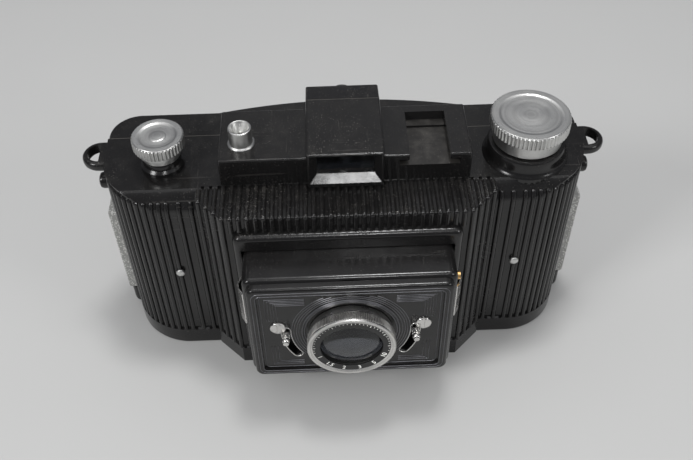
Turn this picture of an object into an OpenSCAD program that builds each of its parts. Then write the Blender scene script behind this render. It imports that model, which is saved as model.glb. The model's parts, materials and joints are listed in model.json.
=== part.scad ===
// A roll-film camera in black moulded plastic for 6 x 9 cm pictures on 620 film.
// The lens box draws out of a collar at the front, and the back cover lifts off.
// X runs to the right of the front view, the front faces -Y, and Z is up.
// The origin is on the base, in the middle of the width, on the plane of the spool axes.

/* [Body] */
// Width of the body over its flat ends
body_w = 155; // [150:1:160]
// Depth of the wings in front of the spool axes
wing_d = 17; // [16.5:0.5:19]
// Depth of the central bulge in front of the spool axes
bulge_d = 26; // [25:0.5:27]
// Width of the bulge where it leaves the wings
bulge_w = 94; // [92:1:98]
// Width of the flat front of the bulge
bulge_front_w = 76; // [74:1:80]
// Distance from the spool axes back to the seam with the back cover
seam_y = 13; // [13:0.5:15]
// Wall of the mouldings at the top, base, front and ends
wall = 3.5; // [3:0.1:3.8]
// Radius of the front corners in plan
end_r = 20; // [14:0.5:20]
// Radius of the rear corners in plan
rear_r = 10; // [6:0.5:10.5]

// Width of the sloping shoulder along the top front edge of the wings
shoulder_in = 5; // [3:0.5:5]
// Height of the sloping shoulder
shoulder_h = 6; // [4:0.5:6]

/* [Ribs] */
// Distance from rib to rib
rib_pitch = 2.55; // [2.4:0.05:3]
// Width of the gaps between the ribs
rib_gap = 1; // [0.8:0.1:1.2]
// Depth of the gaps between the ribs
rib_h = 0.8; // [0.5:0.1:1]
// Height of the smooth band below the ribs
band_h = 7.5; // [6:0.5:9]
// Distance from the bulge to the first rib of a wing
rib_start = 1.6; // [1.4:0.1:2]

/* [Film and spools] */
// Length of a 620 spool over its flanges
spool_len = 65.5; // [65:0.1:66]
// Radius of the spool flanges
spool_r = 11.6; // [11:0.1:11.8]
// Radius of the spool core
core_r = 3.8; // [3.6:0.1:4.5]
// Play at each end of a spool
spool_play = 0.5; // [0.3:0.1:0.8]
// Distance of each spool axis from the middle
spool_x = 58; // [57.5:0.5:58.5]
// Width of the picture
gate_w = 84; // [80:1:85]
// Height of the picture
gate_h = 57; // [54:1:58]
// Radius of the film rollers
roller_r = 2.2; // [2:0.1:2.4]

/* [Deck and finder] */
// Width of the raised deck
deck_w = 78; // [76:1:84]
// Height of the deck above the wings
deck_h = 10; // [9.5:0.5:12]
// Wall of the deck and of the finder hood
deck_wall = 2.4; // [2:0.1:2.6]
// Depth of the deck front in front of the spool axes
deck_d = 11; // [10:0.5:12]
// Width of the finder hood
hood_w = 23.8; // [22:0.2:25]
// Height of the finder hood above the deck
hood_h = 3.4; // [3:0.2:6]
// Depth of the finder hood in front of the deck front
hood_front = 2.6; // [2:0.2:3]
// Distance from the seam back to the rear end of the hood
hood_rear = 9.5; // [7:0.5:10]
// Width of the wide lower slot of the accessory shoe
shoe_w = 18.8; // [18.6:0.1:19]
// Width of the opening between the lips of the shoe
shoe_gap = 12.6; // [12:0.1:13]
// Height of the wide slot of the shoe
shoe_slot_h = 2.1; // [2:0.1:2.3]
// Thickness of the lips of the shoe
shoe_lip = 2; // [1.6:0.1:2.2]
// Distance of the shoe from the middle
shoe_x = 26; // [25:0.5:26]

/* [Knobs and release] */
// Radius of the knurled rim of the winding knob
knob_r = 12.5; // [11.5:0.1:13]
// Height of the knurled rim of the winding knob
knob_rim_h = 4.5; // [4:0.1:6]
// Height of the smooth skirt of the winding knob
knob_skirt_h = 5; // [4:0.1:6]
// Height of the black boss under the winding knob
boss_h = 5.6; // [3:0.1:6.5]
// Radius of the knurled rim of the supply knob
supply_r = 8.2; // [7.5:0.1:9]
// Height of the knurled rim of the supply knob
supply_rim_h = 5; // [4.5:0.1:6]
// Height of the neck of the supply knob
supply_neck_h = 2.7; // [2.5:0.1:4]
// Height of the collar under the supply knob
supply_collar_h = 4.2; // [2:0.1:5]
// Lift of the supply knob for loading film
supply_lift = 6; // [4:0.5:7]
// Radius of the release button
button_r = 3.7; // [3.2:0.1:4]
// Height of the release button above the deck
button_h = 6.3; // [5.5:0.1:9]
// Travel of the release button
button_travel = 3.5; // [2:0.1:3.5]
// Distance of the button from the middle
button_x = 32; // [30:0.5:32.5]
// Distance of the button in front of the spool axes
button_d = 2.8; // [2:0.1:6]

/* [Lens box] */
// Width of the lens box
box_w = 66; // [64:1:67]
// Height of the lens box
box_h = 47; // [45:1:48]
// Wall of the lens box
box_wall = 2.5; // [2:0.1:2.6]
// Depth of the box front in front of the spool axes, pushed in
box_d = 40.2; // [39.5:0.1:43]
// Height of the lens axis above the base
lens_z = 37.5; // [36.8:0.1:37.8]
// Distance that the lens box draws out
draw = 24; // [20:0.5:24]
// Gap between the box and the sleeve that guides it
box_gap = 0.25; // [0.15:0.05:0.3]
// Thickness of the face plate
plate_t = 2.8; // [2.6:0.1:3.2]
// Depth of the panel below the rim of the face plate
panel_deep = 0.9; // [0.6:0.1:1]
// Width of the collar beside the box
collar_side = 2.5; // [2:0.1:3]
// Width of the collar above and below the box
collar_top = 5.6; // [4:0.1:6]
// Distance of the collar face in front of the bulge
collar_t = 2; // [1.5:0.1:3]

/* [Lens and shutter] */
// Radius of the lens ring
ring_r = 14.1; // [13.9:0.1:15]
// Radius of the lens barrel
barrel_r = 12; // [11.8:0.1:12.2]
// Radius of the front glass
glass_r = 9.9; // [9:0.1:10]
// Length of the lens ring
ring_len = 6.8; // [6:0.1:7.5]
// Radius of the circle on which the lever pins stand
lever_r = 20.6; // [20:0.1:21]
// Travel of the lever pins in degrees
lever_travel = 30; // [15:1:32]
// Radius of the hole in the shutter plate
shutter_hole_r = 6; // [5:0.1:6.5]
// Radius of the lever pins
pin_r = 0.9; // [0.7:0.05:1]

/* [Back cover] */
// Distance from the spool axes to the rear of the wings
back_y = 25; // [24.5:0.5:28]
// Distance from the spool axes to the rear of the curved middle
back_mid_y = 30; // [29.5:0.5:32]
// Wall of the rear face
back_wall = 3; // [2.5:0.1:3.2]
// Distance of each red window from the middle
window_x = 21.5; // [20:0.5:22]
// Height of the red windows above the base
window_z = 20; // [19:0.5:24]
// Radius of the red windows
window_r = 4; // [3.5:0.1:4.2]
// Travel of the window cover
cover_travel = 11; // [10:0.5:12]

/* [Latches and ears] */
// Width of a latch strip from front to back
latch_w = 9.5; // [8:0.5:9.5]
// Thickness of a latch strip
latch_t = 3.8; // [2:0.1:4.5]
// Height of a latch strip
latch_h = 40; // [36:0.5:40]
// Travel of a latch strip
latch_travel = 4; // [3:0.5:4.5]
// Reach of a strap ear beyond the end of the body
ear_out = 7.5; // [7:0.1:9]
// Thickness of a strap ear
ear_t = 3.5; // [3:0.1:5]

/* [Tripod bush] */
// Radius of the threaded hole of the bush
bush_bore_r = 2.6; // [2.5:0.05:4]
// Outer radius of the bush
bush_r = 6; // [5.5:0.1:6.5]
// Length of the bush
bush_len = 8; // [6:0.5:8.5]
// Distance of the bush in front of the spool axes
bush_d = 5; // [0:0.5:8]

/* [Hidden] */
$fn = 96;
fit = 0.05;        // running fit of a shaft in its bore
seat = 0.1;        // gap between a moving face and the face that it faces
eps = 0.5;         // reach of a cut past the face that it opens
black = "#151515";
metal = "#c8c8c4";
steel = "#9a9a98";
brass = "#b08d45";
glass = "#8fa4b4";

body_h = spool_len + 2 * (spool_play + wall);
end_x = body_w / 2;
part_x = spool_x - 14.5;             // inner face of each spool chamber
chamber_d = wing_d - wall;           // front face of each spool chamber
collar_d = bulge_d + collar_t;
sleeve_back_d = collar_d - 7.5;      // rear end of the sleeve that guides the box
flange_out = 1.6;                    // reach of the rear flange of the box
flange_t = 2.5;
tunnel_gap = 0.4;                    // gap round the flange
gate_t = 4.3;
gate_y = seam_y - 0.4 - gate_t;      // front face of the film gate
gate_out_w = gate_w + 6;
roller_x = gate_out_w / 2 + roller_r + 0.4;
roller_y = seam_y - roller_r - 0.2;
boss_r = knob_r + 1.2;
deck_z = body_h + deck_h;
hood_z = deck_z + hood_h;
hood_d = deck_d + hood_front;
hood_y = seam_y + hood_rear;
bridge_t = 1.5;                      // floor of the deck under the hood
tunnel_z = lens_z + box_h / 2 + flange_out + tunnel_gap;   // ceiling of the tunnel that the box slides in
pocket_z = tunnel_z + button_travel + 0.2;   // floor of the pocket for the release spring
pin_reach = supply_lift - 3;         // reach of the supply pin into the spool
box_half_w = box_w / 2;
box_half_h = box_h / 2;
collar_half_w = box_half_w + box_gap + collar_side;
collar_half_h = box_half_h + box_gap + collar_top;
box_rear_d = sleeve_back_d - draw - flange_t - 0.3;   // flange stops short of the sleeve, drawn out
front_wall = 3;                      // wall of the box behind the face plate
barrel_flange_r = barrel_r + 3;
barrel_flange_t = 1;
shutter_d = box_d - front_wall - barrel_flange_t;   // front of the shutter plate
shutter_t = 1.2;
rear_glass_r = glass_r - 1.4;
plate_d = box_d + plate_t;
panel_d = plate_d - panel_deep;
plate_inset = 1.2;
ring_back_d = panel_d + 0.2;
ring_front_d = ring_back_d + ring_len;
web_d = ring_front_d - 2.5;          // rear of the web that holds the glass
rim_w = 1;                           // width of the bright front rim
lever_bore_r = barrel_r + 0.1;
lever_t = 0.4;
lever_out = 4.5;                     // reach of a lever pin in front of the panel
screw_x = 23;
screw_z = lens_z + 2.9;
screw_r = 1.2;
screw_head_r = 2.6;
screw_in = front_wall - 0.2;         // reach of a plate screw into the box
side_pin_r = 0.8;
side_pin_head_r = 1.3;
side_pin_d = box_d - 4;
side_pin_z = lens_z + box_half_h - 5;
clip_d = box_d - 1.4;                // front of a side clip
clip_l = clip_d - collar_d - 0.8;    // length of a side clip, short of the collar
clip_z = lens_z + 1.5;
clip_h = side_pin_z - side_pin_head_r - 1.2 - clip_z;
blade_x = -13;                       // pivot of the shutter blade, from the lens axis
blade_z = 7;
blade_t = 0.4;
blade_pin_r = 1;
rivet_x = 56;
rivet_head_r = 1.5;
rivet_z = 39.5;
spring_w = 8;                        // width of a tension spring
latch_y0 = end_r - wing_d;           // the flat of each end starts behind its round corner
latch_z0 = 9;
latch_gap = 0.15;
latch_rivet_z = [latch_z0 + 10, latch_z0 + latch_h - 6];
supply_top_h = supply_neck_h + supply_rim_h;
latch_rivet_r = 1.1;
end_rivet_z = latch_z0 + latch_h + latch_travel + 2.6;
lug_y = latch_y0 + 2.4;
lug_z = body_h - 11.3;
lug_out = 3.8;
ear_r = 5.8;
ear_y = seam_y - 0.9 - ear_r;
ear_rim = 1.7;                       // width of the ring round the hole of an ear
lobe_out = 3.4;
lobe_h = 7.6;
key_t = 1.2;
key_w = 5.6;
key_h = 3.1;
shaft_r = 2.9;
pin_rod_r = 2;
pivot_r = 1.6;
pivot_h = 2.6;
rod_r = 1.5;
land_w = 80;
land_y = back_mid_y + 0.6;
cover_t = 1;
cover_h = 11;
cover_w = 65;
plate_y = seam_y + 0.3;              // front face of the pressure plate

// Helpers
function arc_points(r, a0, a1, steps) = [for (i = [0 : steps]) let (a = a0 + (a1 - a0) * i / steps)
    [r * cos(a), r * sin(a)]];
module block(x0, x1, y0, y1, z0, z1) {
    translate([x0, y0, z0]) cube([x1 - x0, y1 - y0, z1 - z0]);
}
module disc(r, d0, d1) {
    translate([0, -d0, lens_z]) rotate([90, 0, 0]) cylinder(r = r, h = d1 - d0);
}
module turned(points) {
    translate([0, 0, lens_z]) rotate([90, 0, 0]) rotate_extrude() polygon(points);
}
module lens(r, d0, d1, curve_r) {
    steps = 6;
    turned(concat([[0, d0], [r, d0]], [for (i = [0 : steps]) let (x = r * (1 - i / steps))
        [x, d1 - curve_r + sqrt(curve_r * curve_r - x * x)]]));
}
module both() {
    children();
    mirror([1, 0, 0]) children();
}
module side_profile(w, points) {
    translate([-w / 2, 0, 0]) rotate([90, 0, 90]) linear_extrude(w) polygon(points);
}
module mouth(w, z0, z1, y, deep, flare) {
    intersection() {
        translate([0, 0, z0 - flare - 1]) linear_extrude(z1 - z0 + 2 * flare + 2)
            polygon([[-w / 2, y + deep], [-w / 2 - flare, y], [w / 2 + flare, y], [w / 2, y + deep]]);
        side_profile(w + 2 * flare + 2,
            [[y + deep, z0], [y, z0 - flare], [y, z1 + flare], [y + deep, z1]]);
    }
}

// Front body
module wing_plan() {
    both() {
        translate([0, -wing_d]) square([end_x - end_r, wing_d + seam_y]);
        translate([0, end_r - wing_d]) square([end_x, wing_d - end_r + seam_y]);
        end_corner(end_r);
    }
}
// The round front corner of an end
module end_corner(r) translate([end_x - end_r, end_r - wing_d]) intersection() {
    circle(r = r);
    translate([0, -r]) square([r, r]);
}
module chamber_plan() {
    translate([part_x, -chamber_d]) square([end_x - end_r - part_x, chamber_d + seam_y + eps]);
    translate([part_x, end_r - wing_d]) square([end_x - wall - part_x, wing_d - end_r + seam_y + eps]);
    end_corner(end_r - wall);
}
module bulge_plan() {
    polygon([
        [-bulge_w / 2, -wing_d + 1], [-bulge_w / 2, -wing_d], [-bulge_front_w / 2, -bulge_d],
        [bulge_front_w / 2, -bulge_d], [bulge_w / 2, -wing_d], [bulge_w / 2, -wing_d + 1]
    ]);
}
shoulder_bend = 25;                      // turn of the shoulder's arc on each side of its chord
shoulder_a = 180 - atan2(shoulder_in, shoulder_h) + shoulder_bend;
shoulder_r = norm([shoulder_in, shoulder_h]) / 2 / sin(shoulder_bend);
shoulder_mid = [0, body_h - shoulder_h] - shoulder_r * [cos(shoulder_a), sin(shoulder_a)];
module shoulder_profile() {
    arc = arc_points(shoulder_r, shoulder_a, shoulder_a - 2 * shoulder_bend, 8);
    polygon(concat([for (p = arc) p + shoulder_mid], [[shoulder_in, body_h + eps], [-eps, body_h + eps],
        [-eps, body_h - shoulder_h]]));
}
module shoulder_cut() both() translate([bulge_w / 2, -wing_d, 0]) rotate([90, 0, 90])
    linear_extrude(end_x - bulge_w / 2) shoulder_profile();
// A gap between two ribs of a wing, at a distance along its front and round its corner
module wing_gap(along) {
    corner_x = end_x - end_r;
    turn = max(0, along - corner_x) / end_r * 180 / PI;
    tip_a = shoulder_a - 1.1 * shoulder_bend;
    aside = end_r * (1 - cos(turn));     // how far the corner lies behind the front, where the shoulder fades
    arc = [for (p = arc_points(shoulder_r - rib_h, shoulder_a, tip_a, 3))
        [max(rib_h, p[0] + shoulder_mid[0] - aside), p[1] + shoulder_mid[1]]];
    tip = shoulder_mid + (shoulder_r + rib_h) * [cos(tip_a), sin(tip_a)];
    translate([min(along, corner_x), end_r - wing_d, 0]) rotate(turn) translate([-rib_gap / 2, -end_r, 0])
        rotate([90, 0, 90]) linear_extrude(rib_gap) polygon(concat([[-rib_h, band_h], [rib_h, band_h]], arc,
            [[max(-eps, tip[0] - aside), tip[1]], [-rib_h, tip[1]]]));
}
function bulge_front(x) = -min(bulge_d,
    wing_d + (bulge_w / 2 - abs(x)) * (bulge_d - wing_d) / (bulge_w - bulge_front_w) * 2);
// A gap between two ribs that run forwards over the bulge and down its front
module bulge_gap(x) {
    sides = [x - rib_gap / 2, x + rib_gap / 2];
    under_collar = abs(x) + rib_gap / 2 < collar_half_w;
    foot = under_collar ? lens_z + collar_half_h - rib_h : band_h;
    translate([0, 0, foot]) linear_extrude(body_h - foot + eps) polygon([
        [sides[0], bulge_front(sides[0]) - rib_h], [sides[1], bulge_front(sides[1]) - rib_h],
        [sides[1], bulge_front(sides[1]) + rib_h], [sides[0], bulge_front(sides[0]) + rib_h]]);
    block(sides[0], sides[1], -bulge_d - eps, -deck_d - seat, body_h - rib_h, body_h + eps);
}
module rib_gaps() {
    wing_run = end_x - end_r + end_r * PI / 2 - bulge_w / 2 - rib_start;
    both() {
        for (i = [-1 : floor(wing_run / rib_pitch)])
            wing_gap(bulge_w / 2 + rib_start + (i + 0.5) * rib_pitch);
        for (i = [0 : floor((bulge_w / 2 - rib_pitch) / rib_pitch)]) bulge_gap((i + 0.5) * rib_pitch);
    }
}
module ear() {
    translate([0, 0, body_h - ear_t]) difference() {
        union() {
            translate([end_x + ear_out - ear_r, ear_y, 0]) cylinder(r = ear_r, h = ear_t);
            translate([end_x - wall, ear_y - ear_r, 0]) cube([ear_out + wall - ear_r, 2 * ear_r, ear_t]);
        }
        translate([end_x + ear_out - ear_r, ear_y, -eps]) intersection() {
            cylinder(r = ear_r - ear_rim, h = ear_t + 2 * eps);
            translate([0, -ear_r, 0]) cube([ear_r, 2 * ear_r, ear_t + 2 * eps]);
        }
    }
}
module frame_block(half_w, half_h, d0, d1) {
    block(-half_w, half_w, -d1, -d0, lens_z - half_h, lens_z + half_h);
}
module front_body() color(black) difference() {
    union() {
        difference() {
            union() {
                difference() {
                    linear_extrude(body_h) wing_plan();
                    shoulder_cut();
                }
                linear_extrude(body_h) bulge_plan();
            }
            rib_gaps();
        }
        both() translate([rivet_x, -wing_d + rib_h + eps, rivet_z]) rotate([90, 0, 0])
            cylinder(r = rivet_head_r, h = rib_h + eps);
        intersection() {
            translate([spool_x, 0, body_h - shoulder_h]) cylinder(r = boss_r, h = shoulder_h);
            linear_extrude(body_h) wing_plan();
        }
        frame_block(collar_half_w, collar_half_h, bulge_d - 1, collar_d);
        both() {
            ear();
            block(end_x - wall, end_x + lobe_out, latch_y0, latch_y0 + latch_w, latch_z0 - 0.2 - lobe_h,
                latch_z0 - 0.2);
            translate([end_x - wall, lug_y, lug_z]) rotate([0, 90, 0])
                cylinder(r = 2.8, h = wall + lug_out);
        }
    }
    both() translate([0, 0, wall]) linear_extrude(body_h - 2 * wall) chamber_plan();
    frame_block(box_half_w + box_gap, box_half_h + box_gap, sleeve_back_d - eps, collar_d + eps);
    frame_block(box_half_w + flange_out + tunnel_gap, box_half_h + flange_out + tunnel_gap,
        -gate_y - eps, sleeve_back_d);
    block(-gate_out_w / 2 - seat, gate_out_w / 2 + seat, gate_y - seat, seam_y + eps, wall, body_h - wall);
    block(-deck_w / 2 + deck_wall, -hood_w / 2, -deck_d + deck_wall, seam_y - 4, pocket_z, body_h + eps);
    translate([-button_x, -button_d, pocket_z - 8]) cylinder(r = rod_r + fit, h = 8 + eps);
    translate([spool_x, 0, body_h - wall - eps]) cylinder(r = shaft_r + fit, h = wall + 2 * eps);
    translate([-spool_x, 0, body_h - wall - eps]) cylinder(r = pin_rod_r + fit, h = wall + 2 * eps);
    translate([0, -bush_d, -eps]) cylinder(r = bush_r, h = bush_len + eps);
    both() {
        translate([spool_x, 0, -eps]) cylinder(r = pivot_r, h = wall + 2 * eps);
        translate([rivet_x, -chamber_d + eps, rivet_z]) rotate([90, 0, 0])
            cylinder(r = 1, h = wall + 2 * eps);
        translate([roller_x, roller_y, wall - 1.5]) cylinder(r = 0.9 + fit, h = body_h - 2 * wall + 3);
        for (z = latch_rivet_z) translate([end_x - wall - eps, latch_y0 + latch_w / 2, z])
            rotate([0, 90, 0]) cylinder(r = latch_rivet_r, h = wall + 2 * eps);
        translate([end_x - 1.5, latch_y0 + 1.9, end_rivet_z]) rotate([0, 90, 0]) cylinder(r = 0.8, h = 4);
    }
}

// Deck and finder
module shoe_cut() {
    slot_top = deck_z - shoe_lip;
    slot_z = slot_top - shoe_slot_h;
    shoe_back = seam_y - 3.5;
    block(shoe_x - shoe_w / 2, shoe_x + shoe_w / 2, -deck_d - eps, shoe_back - 3, slot_z, slot_top);
    block(shoe_x - shoe_gap / 2, shoe_x + shoe_gap / 2, -deck_d - eps, shoe_back - 3, slot_z, deck_z + eps);
    block(shoe_x - shoe_gap / 2, shoe_x + shoe_gap / 2, -deck_d, shoe_back, slot_z + 0.8, deck_z + eps);
}
module top_deck() color(black) difference() {
    union() {
        difference() {
            block(-deck_w / 2, deck_w / 2, -deck_d, seam_y - seat, body_h, deck_z);
            block(-deck_w / 2 + deck_wall, deck_w / 2 - deck_wall, -deck_d + deck_wall, seam_y - deck_wall,
                body_h - eps, deck_z - deck_wall);
        }
        block(shoe_x - shoe_w / 2 - 2, deck_w / 2 - 1, -deck_d, seam_y - 2,
            deck_z - shoe_lip - shoe_slot_h - 2, deck_z);
        block(-hood_w / 2 - 2, hood_w / 2 + 2, -deck_d, seam_y - seat, body_h, deck_z);
    }
    block(-hood_w / 2 - fit, hood_w / 2 + fit, -deck_d - eps, seam_y + eps, body_h + bridge_t, deck_z + eps);
    translate([-button_x, -button_d, body_h - eps]) cylinder(r = button_r + fit, h = deck_h + 2 * eps);
    shoe_cut();
}
module finder_hood() color(black) difference() {
    side_profile(hood_w, [
        [-hood_d, body_h + 0.1], [-hood_d, hood_z], [seam_y, hood_z], [hood_y, hood_z - 1.8],
        [hood_y, body_h + bridge_t], [-deck_d - 0.1, body_h + bridge_t], [-deck_d - 0.1, body_h + 0.1]
    ]);
    tunnel(-hood_d - eps, hood_y - 2.5, 0);
    mouth(finder_w, finder_z0, finder_z1, -hood_d - 0.01, 2.4, 2.2);
    translate([0, hood_y - 3, finder_mid]) rotate([-90, 0, 0]) cylinder(r = eye_r, h = 4);
}
finder_w = hood_w - 6;
finder_z0 = body_h + bridge_t + 2.2;
finder_z1 = hood_z - deck_wall - 0.4;
finder_mid = (finder_z0 + finder_z1) / 2;
eye_r = 3.4;
module tunnel(y0, y1, gap) {
    block(-finder_w / 2 + gap, finder_w / 2 - gap, y0, y1, finder_z0 + gap, finder_z1 - gap);
}
finder_lens_in = 4.4;
finder_lens_t = 2.4;
finder_curve_r = 24;
finder_dish = 0.6;
module finder_front_lens() color(glass) difference() {
    tunnel(-hood_d + finder_lens_in, -hood_d + finder_lens_in + finder_lens_t, fit);
    translate([0, -hood_d + finder_lens_in + finder_dish - finder_curve_r, finder_mid])
        sphere(r = finder_curve_r);
}
module finder_eye_ring() color(black) translate([0, hood_y - 2.5, finder_mid]) rotate([-90, 0, 0])
    difference() {
        union() {
            cylinder(r = eye_r, h = 2.5);
            translate([0, 0, 2.5]) cylinder(r = eye_r + 0.6, h = 0.8);
        }
        translate([0, 0, -eps]) cylinder(r = eye_r - 0.8, h = 5);
    }
module finder_rear_lens() color(glass) translate([0, hood_y - 1.6, finder_mid]) rotate([-90, 0, 0])
    cylinder(r = eye_r - 0.8, h = 1.4);

// Pieces fixed to the body
module winding_boss() color(black) translate([spool_x, 0, body_h]) difference() {
    cylinder(r = boss_r, h = boss_h);
    translate([0, 0, -eps]) cylinder(r = shaft_r + fit, h = boss_h + 2 * eps);
}
module supply_collar() color(black) translate([-spool_x, 0, body_h]) difference() {
    cylinder(r = supply_r - 1.2, h = supply_collar_h);
    translate([0, 0, -eps]) cylinder(r = pin_rod_r + fit, h = supply_collar_h + 2 * eps);
}
module film_gate() color(black) difference() {
    block(-gate_out_w / 2, gate_out_w / 2, gate_y, gate_y + gate_t, wall + seat, body_h - wall - seat);
    block(-gate_w / 2, gate_w / 2, gate_y - eps, gate_y + gate_t + eps, body_h / 2 - gate_h / 2,
        body_h / 2 + gate_h / 2);
}
module tripod_bush() color(brass) translate([0, -bush_d, 0]) difference() {
    cylinder(r = bush_r, h = bush_len);
    translate([0, 0, -eps]) cylinder(r = bush_bore_r, h = bush_len - 1);
}
module wing_rivets() color(metal) both() translate([rivet_x, -chamber_d, rivet_z]) rotate([90, 0, 0]) {
    translate([0, 0, -0.9]) cylinder(r = 1, h = wall + 0.9);
    translate([0, 0, wall]) cylinder(r = rivet_head_r, h = 0.5);
}
module tension_springs() color(steel) both() difference() {
    end_gap = 8.5;
    block(end_x - end_r - spring_w, end_x - end_r, -chamber_d, -chamber_d + 0.4, wall + end_gap,
        body_h - wall - end_gap);
    translate([rivet_x, -chamber_d + eps, rivet_z]) rotate([90, 0, 0]) cylinder(r = 1, h = 2);
}
module button_ring() color(metal) translate([-button_x, -button_d, deck_z]) difference() {
    cylinder(r = button_r + 0.6, h = 0.8);
    translate([0, 0, -eps]) cylinder(r = button_r + fit, h = 2);
}
module floor_pivots() color(steel) both() translate([spool_x, 0, 0.6])
    cylinder(r = pivot_r, h = wall - 0.6 + pivot_h);
module end_rivets() color(metal) both() translate([end_x - 1.5, latch_y0 + 1.9, end_rivet_z])
    rotate([0, 90, 0]) {
        cylinder(r = 0.8, h = 1.5);
        translate([0, 0, 1.5]) cylinder(r = 1.5, h = 0.9);
    }
module latch_rivets() color(metal) both() for (z = latch_rivet_z)
    translate([end_x - wall, latch_y0 + latch_w / 2, z]) rotate([0, 90, 0]) {
        cylinder(r = latch_rivet_r, h = wall + latch_gap + latch_t + seat);
        translate([0, 0, wall + latch_gap + latch_t + seat]) cylinder(r = 2 * latch_rivet_r, h = 0.8);
    }
module release_spring() color(steel) translate([-button_x, -button_d, pocket_z]) {
    turns = 7;
    room = deck_z - 5 - pocket_z;
    for (i = [0 : turns - 1]) translate([0, 0, 0.3 + i * (room - 0.6) / (turns - 1)])
        rotate_extrude() translate([rod_r + 0.7, 0]) circle(r = 0.3, $fn = 24);
}

// Winding and supply
module winding_knob() color(metal) translate([spool_x, 0, body_h + boss_h + 0.3]) rotate_extrude()
    polygon([
        [shaft_r, 0], [knob_r - 1.5, 0], [knob_r - 1.5, knob_skirt_h - 0.4], [knob_r, knob_skirt_h],
        [knob_r, knob_skirt_h + knob_rim_h - 0.3], [knob_r - 0.3, knob_skirt_h + knob_rim_h],
        [knob_r - 2.6, knob_skirt_h + knob_rim_h], [knob_r - 3.4, knob_skirt_h + knob_rim_h - 1],
        [shaft_r, knob_skirt_h + knob_rim_h - 1.3]
    ]);
module winding_shaft() color(metal) translate([spool_x, 0, 0]) {
    translate([0, 0, body_h - wall])
        cylinder(r = shaft_r, h = wall + boss_h + 0.3 + knob_skirt_h + knob_rim_h - 1.3);
    block(-key_w / 2, key_w / 2, -key_t / 2, key_t / 2, body_h - wall - key_h, body_h - wall);
}
module take_up_spool() color(steel) translate([spool_x, 0, wall + spool_play]) difference() {
    union() {
        cylinder(r = core_r, h = spool_len);
        cylinder(r = spool_r, h = 0.9);
        translate([0, 0, spool_len - 0.9]) cylinder(r = spool_r, h = 0.9);
    }
    translate([0, 0, -eps]) cylinder(r = pivot_r + fit, h = 5 + eps);
    block(-key_w / 2 - 0.3, key_w / 2 + 0.3, -key_t / 2 - 0.2, key_t / 2 + 0.2,
        spool_len - 4, spool_len + eps);
}
module supply_knob() color(metal) translate([-spool_x, 0, body_h + supply_collar_h + seat]) rotate_extrude()
    polygon([
        [pin_rod_r + fit, 0], [supply_r - 2, 0], [supply_r - 2, supply_neck_h - 0.3],
        [supply_r, supply_neck_h], [supply_r, supply_top_h - 0.3], [supply_r - 0.3, supply_top_h],
        [supply_r - 1.8, supply_top_h], [supply_r - 2.5, supply_top_h - 0.8],
        [pin_rod_r + fit, supply_top_h - 1.1]
    ]);
module supply_pin() color(steel) translate([-spool_x, 0, body_h - wall - pin_reach])
    cylinder(r = pin_rod_r, h = pin_reach + wall + supply_collar_h + seat + supply_top_h - 1.1);

// Release
module release_button() color(metal) translate([-button_x, -button_d, deck_z - 5]) difference() {
    cylinder(r = button_r, h = 5 + button_h);
    translate([0, 0, 5 + button_h - 6]) cylinder(r = 1.3, h = 7);
    translate([0, 0, 5 + button_h]) rotate_extrude()
        polygon([[0, 0.1], [button_r - 0.5, 0.1], [button_r - 0.5, 0], [1.3, -3.4], [0, -3.4]]);
}
module release_rod() color(steel) translate([-button_x, -button_d, pocket_z - 0.1])
    cylinder(r = rod_r, h = deck_z - 5 - pocket_z + 0.1);
module roller(side) {
    translate([side * roller_x, roller_y, wall + 0.3]) {
        cylinder(r = roller_r, h = body_h - 2 * wall - 0.6);
        translate([0, 0, -1.5]) cylinder(r = 0.9, h = body_h - 2 * wall + 2.4);
    }
}
module roller_left() color(metal) roller(-1);
module roller_right() color(metal) roller(1);

// Lens box
module lens_box() color(black) difference() {
    union() {
        frame_block(box_half_w, box_half_h, box_rear_d, box_d);
        frame_block(box_half_w + flange_out, box_half_h + flange_out, box_rear_d, box_rear_d + flange_t);
    }
    frame_block(box_half_w - box_wall, box_half_h - box_wall, box_rear_d - eps, box_d - front_wall);
    disc(barrel_r, shutter_d, box_d + eps);
    disc(lever_r + 2, box_d - 1, box_d + eps);
    for (s = [-1, 1]) translate([s * screw_x, -box_d + front_wall + eps, screw_z]) rotate([90, 0, 0])
        cylinder(r = screw_r, h = front_wall + 2 * eps);
    translate([box_half_w - box_wall - eps, -side_pin_d, side_pin_z]) rotate([0, 90, 0])
        cylinder(r = side_pin_r, h = box_wall + 2 * eps);
}
module box_baffle() color(black) difference() {
    frame_block(box_half_w - box_wall, box_half_h - box_wall, box_rear_d + 4, box_rear_d + 5.2);
    frame_block(box_half_w - 8, box_half_h - 7, box_rear_d + 3, box_rear_d + 6);
}
module arc_slot(a0, a1) {
    slot_r = pin_r + 0.35;
    translate([0, -box_d + eps, lens_z]) rotate([90, 0, 0]) linear_extrude(plate_t + 2 * eps) polygon(concat(
        arc_points(lever_r - slot_r, a0 - 4, a1 + 4, 8), arc_points(lever_r + slot_r, a1 + 4, a0 - 4, 8)));
}
module face_plate() color(black) difference() {
    frame_block(box_half_w - plate_inset, box_half_h - plate_inset, box_d, plate_d);
    frame_block(box_half_w - plate_inset - 3, box_half_h - plate_inset - 3, panel_d, plate_d + eps);
    disc(barrel_r, box_d - eps, plate_d + eps);
    arc_slot(180, 180 + lever_travel);
    arc_slot(-lever_travel, 0);
    for (s = [-1, 1]) translate([s * screw_x, -box_d + eps, screw_z]) rotate([90, 0, 0])
        cylinder(r = screw_r, h = plate_t + 2 * eps);
}
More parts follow.
